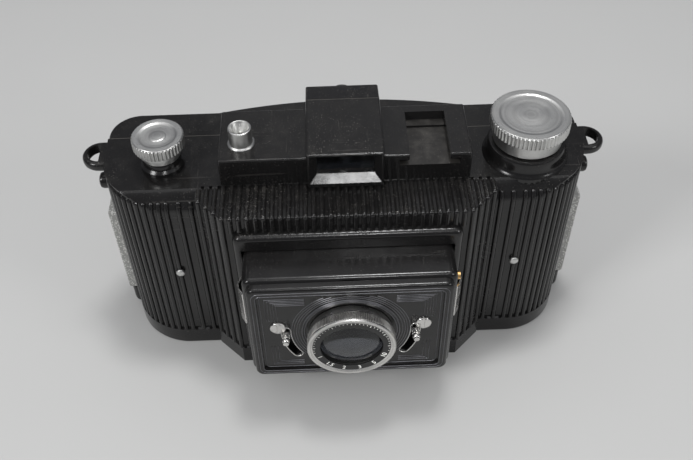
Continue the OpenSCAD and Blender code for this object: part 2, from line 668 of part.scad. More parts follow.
module plate_screws() color(metal) for (s = [-1, 1])
    translate([s * screw_x, -panel_d, screw_z]) rotate([90, 0, 0]) difference() {
        union() {
            translate([0, 0, box_d - panel_d - screw_in])
                cylinder(r = screw_r, h = panel_d - box_d + screw_in);
            cylinder(r = screw_head_r, h = 1.1);
        }
        translate([-0.35, -3, 0.6]) cube([0.7, 6, 1]);
    }
module lens_barrel() color(metal) turned([
    [rear_glass_r, shutter_d], [barrel_flange_r, shutter_d], [barrel_flange_r, box_d - front_wall],
    [barrel_r, box_d - front_wall], [barrel_r, web_d - seat], [glass_r + 0.6, web_d - seat],
    [glass_r + 0.6, box_d - 1], [rear_glass_r, box_d - 1]
]);
module rear_lens() color(glass) lens(rear_glass_r, shutter_d + 0.2, box_d - 1.4, 3 * glass_r);
module shutter_plate() color(steel) difference() {
    frame_block(box_half_w - box_wall - 1, box_half_h - box_wall - 0.3, shutter_d - shutter_t, shutter_d);
    disc(shutter_hole_r, shutter_d - shutter_t - eps, shutter_d + eps);
    for (s = [-1, 1]) translate([s * screw_x, -shutter_d + shutter_t + eps, screw_z]) rotate([90, 0, 0])
        cylinder(r = screw_r + 0.3, h = shutter_t + 2 * eps);
}
module blade_pivot() color(metal)
    translate([blade_x, -shutter_d + shutter_t, lens_z + blade_z]) rotate([-90, 0, 0]) {
        cylinder(r = blade_pin_r, h = 2 * seat + blade_t + 0.3);
        translate([0, 0, 2 * seat + blade_t + 0.3]) cylinder(r = blade_pin_r + 0.8, h = 0.5);
    }
module shutter_blade() color(steel) {
    reach = sqrt(blade_x * blade_x + blade_z * blade_z);
    translate([blade_x, -shutter_d + shutter_t + seat, lens_z + blade_z]) rotate([-90, 0, 0]) difference() {
        union() {
            cylinder(r = 2.6, h = blade_t);
            rotate([0, 0, atan2(blade_z, -blade_x)]) {
                translate([reach, 0, 0]) cylinder(r = shutter_hole_r + 1.5, h = blade_t);
                translate([0, -2, 0]) cube([reach, 4, blade_t]);
            }
        }
        translate([0, 0, -eps]) cylinder(r = blade_pin_r + fit, h = 2);
    }
}
module lever(d0, angle) {
    translate([0, -d0, lens_z]) rotate([90, 0, 0]) difference() {
        union() {
            cylinder(r = barrel_r + 4, h = lever_t);
            rotate([0, 0, angle]) translate([barrel_r + 1, -1.5, 0])
                cube([lever_r - barrel_r - 1, 3, lever_t]);
            rotate([0, 0, angle]) translate([lever_r, 0, 0]) {
                cylinder(r = 1.5, h = lever_t);
                cylinder(r = pin_r, h = panel_d + lever_out - d0);
            }
        }
        translate([0, 0, -eps]) cylinder(r = lever_bore_r, h = 2);
    }
}
module aperture_lever() color(metal) lever(box_d - 0.94, 180);
module time_lever() color(metal) lever(box_d - 0.46, 0);
module focus_ring() color(metal) turned([
    [barrel_r + fit, ring_back_d], [ring_r - 0.5, ring_back_d], [ring_r - 0.5, ring_back_d + 2.6],
    [ring_r, ring_back_d + 2.9], [ring_r, ring_front_d - 0.3], [ring_r - 0.3, ring_front_d],
    [ring_r - rim_w, ring_front_d], [ring_r - rim_w, ring_front_d - 0.9], [glass_r, ring_front_d - 0.9],
    [glass_r, web_d], [barrel_r + fit, web_d]
]);
module mark_ring() color(black) difference() {
    disc(ring_r - rim_w, ring_front_d - 0.9, ring_front_d - 0.5);
    disc(glass_r, ring_front_d - 2, ring_front_d + eps);
}
module front_lens() color(glass) lens(glass_r, web_d + 0.1, ring_front_d - 0.4, 2.8 * glass_r);
module clip(side) color(metal) translate([side * box_half_w, -clip_d, clip_z]) scale([side, 1, 1])
    linear_extrude(clip_h) polygon([for (p = [
        [0, 0], [0.3, 0], [1.7, 0.26], [1.9, 0.44], [0.4, 0.82], [0.4, 1], [0, 1], [0, 0.8], [1.5, 0.44],
        [1.3, 0.28], [0, 0.05]
    ]) [p[0], p[1] * clip_l]]);
module box_clip_left() clip(-1);
module box_clip_right() clip(1);
module side_pin() color(brass) translate([box_half_w - box_wall, -side_pin_d, side_pin_z])
    rotate([0, 90, 0]) {
        cylinder(r = side_pin_r, h = box_wall);
        translate([0, 0, box_wall]) cylinder(r = side_pin_head_r, h = 1.1);
    }

// Latches
module latch(side) color(metal) scale([side, 1, 1]) difference() {
    block(end_x + latch_gap, end_x + latch_gap + latch_t, latch_y0, latch_y0 + latch_w, latch_z0,
        latch_z0 + latch_h);
    for (z = latch_rivet_z) {
        block(end_x, end_x + latch_t + 1, latch_y0 + latch_w / 2 - 1.25, latch_y0 + latch_w / 2 + 1.25,
            z - latch_travel, z);
        for (dz = [-latch_travel, 0]) translate([end_x, latch_y0 + latch_w / 2, z + dz])
            rotate([0, 90, 0]) cylinder(r = 1.25, h = latch_t + 1);
    }
}
module latch_left() latch(-1);
module latch_right() latch(1);

// Back cover
module back_plan(in) {
    rise = back_mid_y - back_y + 0.6;
    chord = 44;
    arc_r = (chord * chord + rise * rise) / (2 * rise);
    both() {
        translate([0, seam_y]) square([end_x - rear_r, back_y - seam_y - in]);
        translate([0, seam_y]) square([end_x - in, back_y - rear_r - seam_y]);
        intersection() {
            translate([end_x - rear_r, back_y - rear_r]) circle(r = rear_r - in);
            translate([0, seam_y]) square([end_x, back_y - seam_y]);
        }
    }
    intersection() {
        translate([0, back_mid_y - arc_r]) circle(r = arc_r - in, $fn = 360);
        translate([-chord, seam_y]) square([2 * chord, back_mid_y - seam_y]);
    }
}
module back_cover() color(black) difference() {
    union() {
        linear_extrude(body_h) back_plan(0);
        block(-land_w / 2, land_w / 2, back_y - 1, land_y,
            window_z - cover_h / 2 - 3, window_z + cover_h / 2 + 3);
    }
    translate([0, 0, wall]) linear_extrude(body_h - 2 * wall) back_plan(back_wall);
    block(-end_x + wall, end_x - wall, seam_y - eps, seam_y + 1, wall, body_h - wall);
    for (s = [-1, 1]) translate([s * window_x, back_y - back_wall - 1, window_z]) rotate([-90, 0, 0])
        cylinder(r = window_r, h = 15);
}
module pressure_plate() color(steel) difference() {
    block(-gate_out_w / 2, gate_out_w / 2, plate_y, plate_y + 1, wall + 2, body_h - wall - 2);
    for (s = [-1, 1]) translate([s * window_x, plate_y - eps, window_z]) rotate([-90, 0, 0])
        cylinder(r = window_r + 0.8, h = 2);
}
module pressure_springs() color(steel) {
    rear = back_mid_y - back_wall - 0.25;
    front = plate_y + 1;
    t = 0.4;
    crest = 5;
    foot = gate_w / 2 - 18;
    tip = foot + 6;
    w = 8;
    for (z = [body_h / 2 - w / 2, body_h - 22]) translate([0, 0, z]) linear_extrude(w) polygon([
        [-tip, front], [-foot, front], [-crest, rear - t], [crest, rear - t], [foot, front], [tip, front],
        [tip, front + t], [foot + 0.3, front + t], [crest + 0.3, rear], [-crest - 0.3, rear],
        [-foot - 0.3, front + t], [-tip, front + t]
    ]);
}
module red_windows() color("#8c1610") for (s = [-1, 1])
    translate([s * window_x, land_y - 1.6, window_z]) rotate([-90, 0, 0]) cylinder(r = window_r, h = 1);
module window_rails() color(metal) for (s = [-1, 1]) translate([0, 0, window_z]) scale([1, 1, s]) {
    block(-land_w / 2, land_w / 2, land_y, land_y + cover_t + 0.8, cover_h / 2 + 0.1, cover_h / 2 + 2.4);
    block(-land_w / 2, land_w / 2, land_y + cover_t + 0.2, land_y + cover_t + 0.8, cover_h / 2 - 1.3,
        cover_h / 2 + 0.2);
}
module window_cover() color(metal) difference() {
    union() {
        block(-cover_w / 2 - 5, cover_w / 2 - 5, land_y + 0.1, land_y + 0.1 + cover_t, window_z - cover_h / 2,
            window_z + cover_h / 2);
        block(-3, 3, land_y + cover_t, land_y + cover_t + 1.4, window_z - 3.5, window_z + 3.5);
    }
    for (s = [-1, 1]) translate([s * window_x - cover_travel, land_y - eps, window_z]) rotate([-90, 0, 0])
        cylinder(r = window_r - 0.2, h = 3);
}

front_body();
top_deck();
finder_hood();
finder_front_lens();
finder_eye_ring();
finder_rear_lens();
winding_boss();
supply_collar();
film_gate();
tripod_bush();
wing_rivets();
tension_springs();
button_ring();
floor_pivots();
latch_rivets();
end_rivets();
release_spring();
winding_knob();
winding_shaft();
take_up_spool();
supply_knob();
supply_pin();
release_button();
release_rod();
roller_left();
roller_right();
lens_box();
box_baffle();
face_plate();
plate_screws();
lens_barrel();
rear_lens();
shutter_plate();
blade_pivot();
box_clip_left();
box_clip_right();
side_pin();
shutter_blade();
aperture_lever();
time_lever();
focus_ring();
mark_ring();
front_lens();
latch_left();
latch_right();
back_cover();
pressure_plate();
pressure_springs();
red_windows();
window_rails();
window_cover();
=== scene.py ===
"""Dresses the construction of a moulded roll-film camera, piece by piece, in metres."""

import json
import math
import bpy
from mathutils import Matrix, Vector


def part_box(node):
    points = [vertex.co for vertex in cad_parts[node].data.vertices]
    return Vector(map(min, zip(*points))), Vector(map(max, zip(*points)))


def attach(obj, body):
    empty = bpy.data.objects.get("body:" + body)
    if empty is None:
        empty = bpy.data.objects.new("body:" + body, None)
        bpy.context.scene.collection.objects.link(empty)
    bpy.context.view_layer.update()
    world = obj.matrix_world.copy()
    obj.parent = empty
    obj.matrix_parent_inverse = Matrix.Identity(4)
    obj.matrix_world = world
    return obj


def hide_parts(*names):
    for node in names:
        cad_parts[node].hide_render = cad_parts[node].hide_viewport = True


bl_info = {
    "name": "Roll-film camera",
    "version": (1, 0, 0),
    "blender": (4, 5, 0),
    "location": "View3D > Sidebar > Camera",
    "description": "Makes the ribbed mouldings, knobs, lens and stage of a roll-film camera",
    "category": "Add Mesh",
}

import bmesh
import bpy
from bpy.props import FloatProperty, FloatVectorProperty, IntProperty, PointerProperty
from mathutils import Matrix, Vector

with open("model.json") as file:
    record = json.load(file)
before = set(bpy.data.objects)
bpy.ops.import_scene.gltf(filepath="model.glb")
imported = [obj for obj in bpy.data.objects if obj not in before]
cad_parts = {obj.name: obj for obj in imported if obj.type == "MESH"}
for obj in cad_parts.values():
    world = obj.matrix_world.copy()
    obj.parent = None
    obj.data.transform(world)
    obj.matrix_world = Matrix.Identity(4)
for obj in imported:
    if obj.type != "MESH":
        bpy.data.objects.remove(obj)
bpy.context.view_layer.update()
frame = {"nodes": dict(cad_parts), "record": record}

MM = 0.001
SKIN = 0.02 * MM       # how far a rounded form stays inside the face that it stands for
PIN_BORE = 2.06 * MM   # radius of the hole for the supply pin
WELD = 1e-7            # distance under which two vertices are one
SUNK = 0.1 * MM        # how deep the foot of a rib lies in the ground
KNOB_LO, KNOB_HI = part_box("winding_knob")
SUPPLY_LO, SUPPLY_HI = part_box("supply_knob")
BUTTON_LO, BUTTON_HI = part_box("release_button")
RING_LO, RING_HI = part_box("focus_ring")
PLATE_LO, PLATE_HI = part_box("face_plate")
BOX_LO, BOX_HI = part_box("lens_box")
DECK_LO, DECK_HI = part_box("top_deck")
HOOD_LO, HOOD_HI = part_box("finder_hood")
BACK_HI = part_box("back_cover")[1]
BODY_LO, BODY_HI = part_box("front_body")
KNOB_MID = (KNOB_LO + KNOB_HI) / 2
SUPPLY_MID = (SUPPLY_LO + SUPPLY_HI) / 2
BUTTON_MID = (BUTTON_LO + BUTTON_HI) / 2
RING_MID = (RING_LO + RING_HI) / 2
LENS_Z = RING_MID.z
COLLAR_W = BOX_HI.x + 1.15 * MM    # half the width of the collar round the lens box
COLLAR_H = 29.35 * MM              # half its height
STATE = {}                         # finishes and repeats by name, made by one operator for the others


# Node trees

class Wire:
    """An output socket. Arithmetic on it adds Math nodes to its tree."""

    def __init__(self, tree, socket):
        self.tree = tree
        self.socket = socket

    def maths(self, operation, *values):
        return self.tree.node("ShaderNodeMath", {"operation": operation}, values)

    def __add__(self, other):
        return self.maths("ADD", self, other)

    def __sub__(self, other):
        return self.maths("SUBTRACT", self, other)

    def __rsub__(self, other):
        return self.maths("SUBTRACT", other, self)

    def __mul__(self, other):
        return self.maths("MULTIPLY", self, other)

    def __truediv__(self, other):
        return self.maths("DIVIDE", self, other)

    def __abs__(self):
        return self.maths("ABSOLUTE", self)

    def capped(self):
        return self.maths("MINIMUM", self, 1.0)


class Nodes:
    """A node tree under construction. node() makes every node in it."""

    def __init__(self, tree):
        self.tree = tree

    def node(self, kind, settings=None, inputs=(), output=0):
        made = self.tree.nodes.new(kind)
        for key, value in (settings or {}).items():
            setattr(made, key, value)
        pairs = inputs.items() if isinstance(inputs, dict) else enumerate(inputs)
        for key, value in pairs:
            if isinstance(value, Wire):
                self.tree.links.new(value.socket, made.inputs[key])
            elif value is not None:
                made.inputs[key].default_value = value
        return Wire(self, made.outputs[output] if made.outputs else None)


class Finish(Nodes):
    """A material under construction, with patterns in object coordinates."""

    def __init__(self, name):
        self.material = bpy.data.materials.new(name)
        self.material.use_nodes = True
        super().__init__(self.material.node_tree)
        self.tree.nodes.clear()
        self.place = self.node("ShaderNodeTexCoord", output="Object")

    def noise(self, scale, detail=3.0, roughness=0.5, stretch=(1, 1, 1), turn=(0, 0, 0)):
        place = self.node("ShaderNodeMapping", None, {
            "Vector": self.place, "Scale": stretch, "Rotation": turn})
        return self.node("ShaderNodeTexNoise", None, {
            "Vector": place, "Scale": scale, "Detail": detail, "Roughness": roughness})

    def cells(self, scale):
        return self.node("ShaderNodeTexVoronoi", None, {"Vector": self.place, "Scale": scale}, "Distance")

    def step(self, value, low, high, to_low=0.0, to_high=1.0):
        return self.node("ShaderNodeMapRange", {"interpolation_type": "SMOOTHSTEP"}, {
            "Value": value, "From Min": low, "From Max": high, "To Min": to_low, "To Max": to_high})

    def mix(self, factor, first, second):
        return self.node("ShaderNodeMix", {"data_type": "RGBA"}, {0: factor, 6: first, 7: second}, 2)

    def circles(self, distance, scale, detail):
        """Noise that changes only with the distance from an axis."""
        return self.node("ShaderNodeTexNoise", {"noise_dimensions": "1D"}, {
            "W": distance * scale, "Scale": 1.0, "Detail": detail})

    def along(self, axis, vector=None):
        return self.node("ShaderNodeSeparateXYZ", None, [vector or self.place], axis)

    def facing_up(self):
        normal = self.node("ShaderNodeNewGeometry", output="Normal")
        return self.step(self.along("Z", normal), 0.3, 0.95)

    def radius(self, centre, axis):
        """Distance from a turning axis that runs along X, Y or Z."""
        flat = [0.0 if name == axis else 1.0 for name in "XYZ"]
        place = self.node("ShaderNodeMapping", {"vector_type": "POINT"}, {
            "Vector": self.place, "Location": [-c * f for c, f in zip(centre, flat)], "Scale": flat})
        return self.node("ShaderNodeVectorMath", {"operation": "LENGTH"}, [place], "Value")

    def bump(self, height, strength, distance, normal=None):
        return self.node("ShaderNodeBump", None, {
            "Strength": strength, "Distance": distance, "Height": height, "Normal": normal})

    def surface(self, colour, roughness, normal=None, **constants):
        inputs = {"Base Color": colour, "Roughness": roughness, "Normal": normal}
        inputs.update({key.replace("_", " "): value for key, value in constants.items()})
        shader = self.node("ShaderNodeBsdfPrincipled", None, inputs)
        self.node("ShaderNodeOutputMaterial", None, {"Surface": shader})
        return self.material


def rgb(colour, level=1.0):
    return tuple(c * level for c in colour) + (1.0,)


# Finishes

def moulding(name, look, dust=1.0, hollow=None):
    """Black moulded resin: deep gloss with a slow ripple, dust that lies on top, and hairline scratches.
    Below the height hollow, what faces up is as dusty as a pocket that no cloth reaches."""
    f = Finish(name)
    lying = f.facing_up()
    seam = (1 - f.step(abs(f.along("Y") - BODY_HI.y), 0.04 * MM, 0.2 * MM)) * lying
    patches = f.step(f.noise(55, 5, 0.6), 0.42, 0.68)
    specks = f.step(f.noise(2300, 2, 0.7), 0.655, 0.72)
    film = f.step(f.noise(260, 6, 0.65), 0.40, 0.75)
    powder = (patches * 0.7 + 0.3) * film * (lying * 0.85 + 0.15) * (0.4 * dust)
    if hollow:
        powder = powder + f.step(f.along("Z"), hollow, hollow - 0.2 * MM) * lying * (film * 0.5 + 0.35)
    grit = specks * (lying * 0.7 + 0.3) * (patches * 0.6 + 0.25) * dust
    hair = f.step(f.noise(900, 1, 0.5, (0.04, 1, 1), (0.3, 0.1, 0.5)), 0.66, 0.70)
    cross = f.step(f.noise(1100, 1, 0.5, (1, 0.05, 1), (0.2, 0.4, -0.3)), 0.67, 0.71)
    marks = (hair + cross) * f.step(f.noise(38, 2), 0.5, 0.66)
    base = f.mix(f.noise(120, 4), rgb(look.resin), rgb(look.resin, 1.7))
    dusty = f.mix(powder * 0.4, base, rgb(look.dust, 0.3))
    dusty = f.mix(seam * 0.45, dusty, rgb(look.dust, 0.6))
    dusty = f.mix(grit.capped(), dusty, rgb(look.dust))
    dusty = f.mix(marks * 0.1, dusty, rgb(look.dust, 0.5))
    rough = f.noise(180, 5, 0.6) * 0.10 + 0.13 + powder * 0.35 + grit * 0.3 + marks * 0.12
    ripple = f.bump(f.noise(70, 1), 0.35, 0.0006)
    fine = f.bump(f.noise(2600, 3) + grit * 0.8, 0.12, 0.00005, ripple)
    return f.surface(dusty, rough, fine, IOR=1.47)


def metal(name, colour, rough, grain=(1, 1, 1), wear=0.25, relief=0.15):
    """Bare or plated metal with a drawn grain, handling smears and small dark pits."""
    f = Finish(name)
    drawn = f.noise(900, 3, 0.6, grain)
    smear = f.step(f.noise(130, 4, 0.6), 0.35, 0.75)
    pits = f.step(f.noise(1900, 2, 0.6), 0.66, 0.74)
    base = f.mix(smear * wear, rgb(colour), rgb(colour, 0.55))
    base = f.mix(pits * 0.6, base, rgb(colour, 0.18))
    roughness = drawn * 0.12 + (rough - 0.04) + smear * 0.12 + pits * 0.25
    return f.surface(base, roughness, f.bump(drawn - pits, relief, 0.00004), Metallic=1.0)


def turned(name, colour, rough, centre, axis):
    """Metal faced on a lathe: fine circles round its axis, with a few deeper ones."""
    f = Finish(name)
    distance = f.radius(centre, axis)
    circles = f.circles(distance, 5200.0, 2.0)
    bands = f.circles(distance, 832.0, 1.0)
    smear = f.step(f.noise(160, 5, 0.6), 0.36, 0.72)
    pits = f.step(f.noise(2100, 2), 0.67, 0.74)
    base = f.mix(f.step(bands, 0.42, 0.62) * 0.35, rgb(colour), rgb(colour, 0.62))
    base = f.mix(smear * 0.30, base, rgb(colour, 0.5))
    base = f.mix(pits * 0.6, base, rgb(colour, 0.2))
    roughness = circles * 0.2 + (rough - 0.08) + smear * 0.12
    relief = f.bump(circles + bands * 0.6, 0.6, 0.00005)
    return f.surface(base, roughness, relief, Metallic=1.0)


def crinkle(name, colour):
    """Grey strips with a coarse wrinkled finish, whose colour is painted lighter on the peaks as a highlight
    and darker in between as shade, following the wrinkles' height.
    """
    f = Finish(name)
    peaks = f.step(f.cells(1500), 0.55, 0.1)
    wrinkle = f.noise(2100, 3, 0.6, (1, 1, 0.45))
    height = peaks * 0.6 + wrinkle
    # Painted light and shade: the colour is lighter where the wrinkles are high and darker where they are
    # low.
    base = f.mix(f.step(height, 0.55, 1.05), rgb(colour, 0.5), rgb(colour, 1.2))
    return f.surface(base, 0.62 - peaks * 0.3, f.bump(height, 0.6, 0.00018))


def lacquer(name, colour, under):
    """Black lacquer, worn to the metal in small patches."""
    f = Finish(name)
    worn = f.step(f.noise(420, 5, 0.7), 0.66, 0.70)
    base = f.mix(worn, f.mix(f.noise(90), rgb(colour), rgb(colour, 1.9)), rgb(under))
    rough = f.noise(700, 4) * 0.2 + 0.28 - worn * 0.1
    return f.surface(base, rough, f.bump(f.noise(1500, 3) - worn, 0.15, 0.00006), Metallic=0.0)


def matt_black(name, colour):
    """Dull black on the inside, which stray light doesn't leave."""
    f = Finish(name)
    grain = f.noise(1700, 4, 0.7)
    base = f.mix(f.step(f.noise(60, 4), 0.3, 0.8), rgb(colour), rgb(colour, 2.6))
    return f.surface(base, grain * 0.2 + 0.62, f.bump(grain, 0.35, 0.0001))


def coated_glass(name, tint, depth):
    """A lens with an old coating and a little haze. Thin glass shows the dark behind it."""
    f = Finish(name)
    haze = f.step(f.noise(240, 4, 0.6), 0.45, 0.8)
    base = f.mix(haze * 0.4, rgb(tint), rgb(tint, 0.75))
    smear = f.bump(f.noise(90, 2), 0.04, 0.0004)
    return f.surface(base, haze * 0.05 + 0.02, smear, IOR=1.52, Transmission_Weight=depth)


# Meshes

def placed(name, data):
    """An object that holds the data, in the scene."""
    made = bpy.data.objects.new(name, data)
    bpy.context.scene.collection.objects.link(made)
    return made


def reshape(piece, change):
    """Gives a piece's mesh to change() as a BMesh, and takes it back."""
    shell = bmesh.new()
    shell.from_mesh(piece.data)
    change(shell)
    shell.to_mesh(piece.data)
    shell.free()
    return piece


def weld(shell):
    bmesh.ops.remove_doubles(shell, verts=shell.verts, dist=WELD)


def turn_outwards(shell):
    weld(shell)
    bmesh.ops.recalc_face_normals(shell, faces=shell.faces)
    closed = all(len(edge.link_faces) == 2 for edge in shell.edges)
    if closed and shell.calc_volume(signed=True) < 0:
        bmesh.ops.reverse_faces(shell, faces=shell.faces)


def bevel(shell, edges, radius, segments):
    bmesh.ops.bevel(shell, geom=edges, offset=radius, segments=segments, profile=0.5, affect="EDGES")


def stand_in(name, vertices, faces):
    """A piece from its vertices and faces, welded, with the faces outwards."""
    mesh = bpy.data.meshes.new(name)
    mesh.from_pydata([tuple(v) for v in vertices], [], faces)
    return reshape(placed(name, mesh), turn_outwards)


def loft(name, sections, caps=True):
    """A solid through closed sections that all have the same number of points."""
    count = len(sections[0])
    vertices = [p for section in sections for p in section]
    last = len(vertices) - count
    faces = []
    for row in range(0, last, count):
        for j in range(count):
            k = (j + 1) % count
            faces.append((row + j, row + k, row + count + k, row + count + j))
    if caps:
        faces += [tuple(range(count))[::-1], tuple(range(last, last + count))]
    return stand_in(name, vertices, faces)


def lathe(name, profile, steps=96, place=Matrix.Identity(4)):
    """Turns (radius, height) points about Z. A closed profile makes a ring. Ends at radius 0 are closed."""
    vertices = []
    faces = []
    rows = []
    for radius, height in profile:
        if radius < 1e-9:
            rows.append([len(vertices)] * steps)
            vertices.append(place @ Vector((0, 0, height)))
            continue
        rows.append(list(range(len(vertices), len(vertices) + steps)))
        for i in range(steps):
            angle = 2 * math.pi * i / steps
            vertices.append(place @ Vector((radius * math.cos(angle), radius * math.sin(angle), height)))
    for low, high in zip(rows, rows[1:]):
        for i in range(steps):
            j = (i + 1) % steps
            corners = [low[i], low[j], high[j], high[i]]
            face = [c for n, c in enumerate(corners) if c not in corners[:n]]
            if len(face) > 2:
                faces.append(face)
    return stand_in(name, vertices, faces)


def sweep(name, path, frames, section, shrink=None, caps=True):
    """Carries a section of (side, up) points along a path. frames has these two directions for each point."""
    rings = []
    for i, (point, (side, up)) in enumerate(zip(path, frames)):
        size = shrink[i] if shrink else 1.0
        rings.append([point + side * (s * size) + up * (u * size) for s, u in section])
    return loft(name, rings, caps)


def rounded_block(name, low, high, radius, keep=None, segments=4, corner=0.0):
    """A block whose edges are rounded. keep says from an edge's middle whether it is one of them.
    corner is the larger radius of the edges that run from front to back."""
    def goes_back(edge):
        return abs(edge.verts[0].co.y - edge.verts[1].co.y) > MM

    def middle(edge):
        return (edge.verts[0].co + edge.verts[1].co) / 2

    def shape(block):
        bmesh.ops.create_cube(block, size=1.0)
        for v in block.verts:
            v.co = Vector((low[i] + (v.co[i] + 0.5) * (high[i] - low[i]) for i in range(3)))
        if corner:
            bevel(block, [e for e in block.edges if goes_back(e)], corner, 8)
        bevel(block, [e for e in block.edges if (keep is None or keep(middle(e)))
                      and not (corner and goes_back(e))], radius, segments)

    return reshape(placed(name, bpy.data.meshes.new(name)), shape)


def copy_of(node, name):
    """A watertight copy of a construction node's mesh."""
    mesh = frame["nodes"][node].data.copy()
    mesh.materials.clear()
    for carried in ("custom_normal", "sharp_edge", "sharp_face"):
        if carried in mesh.attributes:
            mesh.attributes.remove(mesh.attributes[carried])
    return reshape(placed(name, mesh), weld)


def settle(piece):
    """Applies what is on a piece and leaves a plain mesh."""
    graph = bpy.context.evaluated_depsgraph_get()
    mesh = bpy.data.meshes.new_from_object(piece.evaluated_get(graph))
    piece.modifiers.clear()
    piece.data = mesh
    return piece


def combine(piece, tool, operation):
    """Joins a piece with a tool, or keeps or cuts what they share. The tool is used up."""
    cut = piece.modifiers.new("combine", "BOOLEAN")
    cut.operation = operation
    cut.solver = "MANIFOLD"
    cut.object = tool
    settle(piece)
    bpy.data.objects.remove(tool)
    if not piece.data.polygons:
        raise RuntimeError(f"{piece.name}: nothing is left after {operation}")
    return piece


def finish_piece(piece, body, finish, replaces=(), smooth=32):
    """Gives a piece its finish, even normals, and its body and replaced nodes."""
    piece.data.materials.clear()
    piece.data.materials.append(STATE[finish])
    piece.data.shade_smooth()
    piece.data.set_sharp_from_angle(angle=math.radians(smooth))
    even = piece.modifiers.new("even", "WEIGHTED_NORMAL")
    even.keep_sharp = True
    settle(piece)
    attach(piece, body)
    if replaces:
        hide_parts(*replaces)
    return piece


def round_off(node, name, body, finish, *forms, slot="bakelite"):
    """Puts in a node's place its own solid, kept only inside the rounded forms that stand for its outside."""
    whole = forms[0]
    for form in forms[1:]:
        combine(whole, form, "UNION")
    finish_piece(combine(copy_of(node, name), whole, "INTERSECT"), body, finish, [node])


def joined(name, pieces):
    """One object from several, whose meshes already lie in place."""
    whole = bmesh.new()
    for piece in pieces:
        whole.from_mesh(piece.data)
        bpy.data.objects.remove(piece)
    mesh = bpy.data.meshes.new(name)
    whole.to_mesh(mesh)
    whole.free()
    return placed(name, mesh)


def mirrored(piece, axis):
    """Turns a piece into its mirror image along an axis."""
    piece.data.transform(Matrix.Scale(-1, 4, axis))
    piece.data.flip_normals()
    return piece


def arc(centre_x, centre_y, radius, start, end, steps):
    """Points of an arc from one angle to another, in degrees."""
    angles = [math.radians(start + (end - start) * i / steps) for i in range(steps + 1)]
    return [(centre_x + radius * math.cos(a), centre_y + radius * math.sin(a)) for a in angles]


def level(outline, height, side=1):
    """A level section of a loft from (x, y) points, mirrored for side -1."""
    return [(side * x, y, height) for x, y in outline]


def inside(radius, height, steps):
    """(radius, height) points of a profile from insets and rises in millimetres."""
    return [(radius - inset * MM, height + rise * MM) for inset, rise in steps]


def half_round(width, height, steps):
    """(side, up) points of a half-round section."""
    return [(-width / 2 * math.cos(math.pi * i / steps), height * math.sin(math.pi * i / steps))
            for i in range(steps + 1)]


def upright(middle, height=0):
    """Sets a lathe's axis upright through the middle of a box."""
    return Matrix.Translation((middle.x, middle.y, height))


def along_y(centre):
    """Turns a lathe's axis to face the front, -Y, with height 0 at the centre."""
    return Matrix.Translation(centre) @ Matrix.Rotation(math.radians(90), 4, "X")


# Repeats, made with Geometry Nodes

class Repeats(Nodes):
    """A Geometry Nodes tree that sets copies of a unit and ends in plain mesh."""

    def __init__(self, name, sizes):
        group = bpy.data.node_groups.new(name, "GeometryNodeTree")
        group.interface.new_socket("Geometry", in_out="OUTPUT", socket_type="NodeSocketGeometry")
        self.sockets = {}
        for label, kind in [("Unit", "NodeSocketObject"), ("Finish", "NodeSocketMaterial"), *sizes]:
            socket = group.interface.new_socket(label, in_out="INPUT", socket_type=kind)
            self.sockets[label] = socket.identifier
        super().__init__(group)
        self.given = group.nodes.new("NodeGroupInput")

    def input(self, label):
        return Wire(self, self.given.outputs[label])

    def geometry(self, label):
        return self.node("GeometryNodeObjectInfo", None, {"Object": self.input(label)}, "Geometry")

    def end(self, points, turn):
        """Sets the unit on the points, turned, and gives the tree its output."""
        copies = self.node("GeometryNodeInstanceOnPoints", None, {
            "Points": points, "Instance": self.geometry("Unit"), "Rotation": turn})
        real = self.node("GeometryNodeRealizeInstances", None, [copies])
        done = self.node("GeometryNodeSetMaterial", None, {
            "Geometry": real, "Material": self.input("Finish")})
        self.tree.links.new(done.socket, self.tree.nodes.new("NodeGroupOutput").inputs[0])
        return self

    def make(self, name, unit, finish, values, place=Matrix.Identity(4)):
        made = stand_in(name, [], [])
        cell = made.modifiers.new("repeats", "NODES")
        cell.node_group = self.tree
        for label, value in {"Unit": unit, "Finish": STATE[finish], **values}.items():
            cell[self.sockets[label]] = value
        settle(made)
        made.data.transform(place)
        bpy.data.objects.remove(unit)
        return made


def ring_of_units():
    """Copies of a unit round the Z axis, each turned to face outwards."""
    t = Repeats("ring_of_units", [("Count", "NodeSocketInt"), ("Radius", "NodeSocketFloat")])
    points = t.node("GeometryNodeMeshCircle", None, {
        "Vertices": t.input("Count"), "Radius": t.input("Radius")})
    turn = t.node("GeometryNodeInputIndex") * (2 * math.pi) / t.input("Count")
    return t.end(points, t.node("ShaderNodeCombineXYZ", None, [0.0, 0.0, turn]))


def row_on_path():
    """Copies of a unit along a path at an even pitch, with X along the path and Z up."""
    t = Repeats("row_on_path", [("Path", "NodeSocketObject"), ("Pitch", "NodeSocketFloat")])
    points = t.node("GeometryNodeResampleCurve", {"mode": "LENGTH"}, {
        "Curve": t.geometry("Path"), "Length": t.input("Pitch")})
    along = t.node("GeometryNodeInputTangent")
    turn = t.node("FunctionNodeAlignEulerToVector", {"axis": "X", "pivot_axis": "Z"}, {"Vector": along})
    return t.end(points, turn)


def heads_on_points():
    """Copies of a unit on the vertices of a mesh, with Z along each vertex's aim attribute."""
    t = Repeats("heads_on_points", [("Seats", "NodeSocketObject")])
    aim = t.node("GeometryNodeInputNamedAttribute", {"data_type": "FLOAT_VECTOR"}, {"Name": "aim"})
    turn = t.node("FunctionNodeAlignEulerToVector", {"axis": "Z"}, {"Vector": aim})
    return t.end(t.geometry("Seats"), turn)


def heads(name, unit, finish, seats):
    """One object of like fasteners. seats lists (place, aim) pairs."""
    points = stand_in(name + "_seats", [place for place, aim in seats], [])
    aims = points.data.attributes.new("aim", "FLOAT_VECTOR", "POINT")
    for item, (place, aim) in zip(aims.data, seats):
        item.vector = aim
    made = STATE["heads"].make(name, unit, finish, {"Seats": points})
    bpy.data.objects.remove(points)
    return made


# Sizes and colours

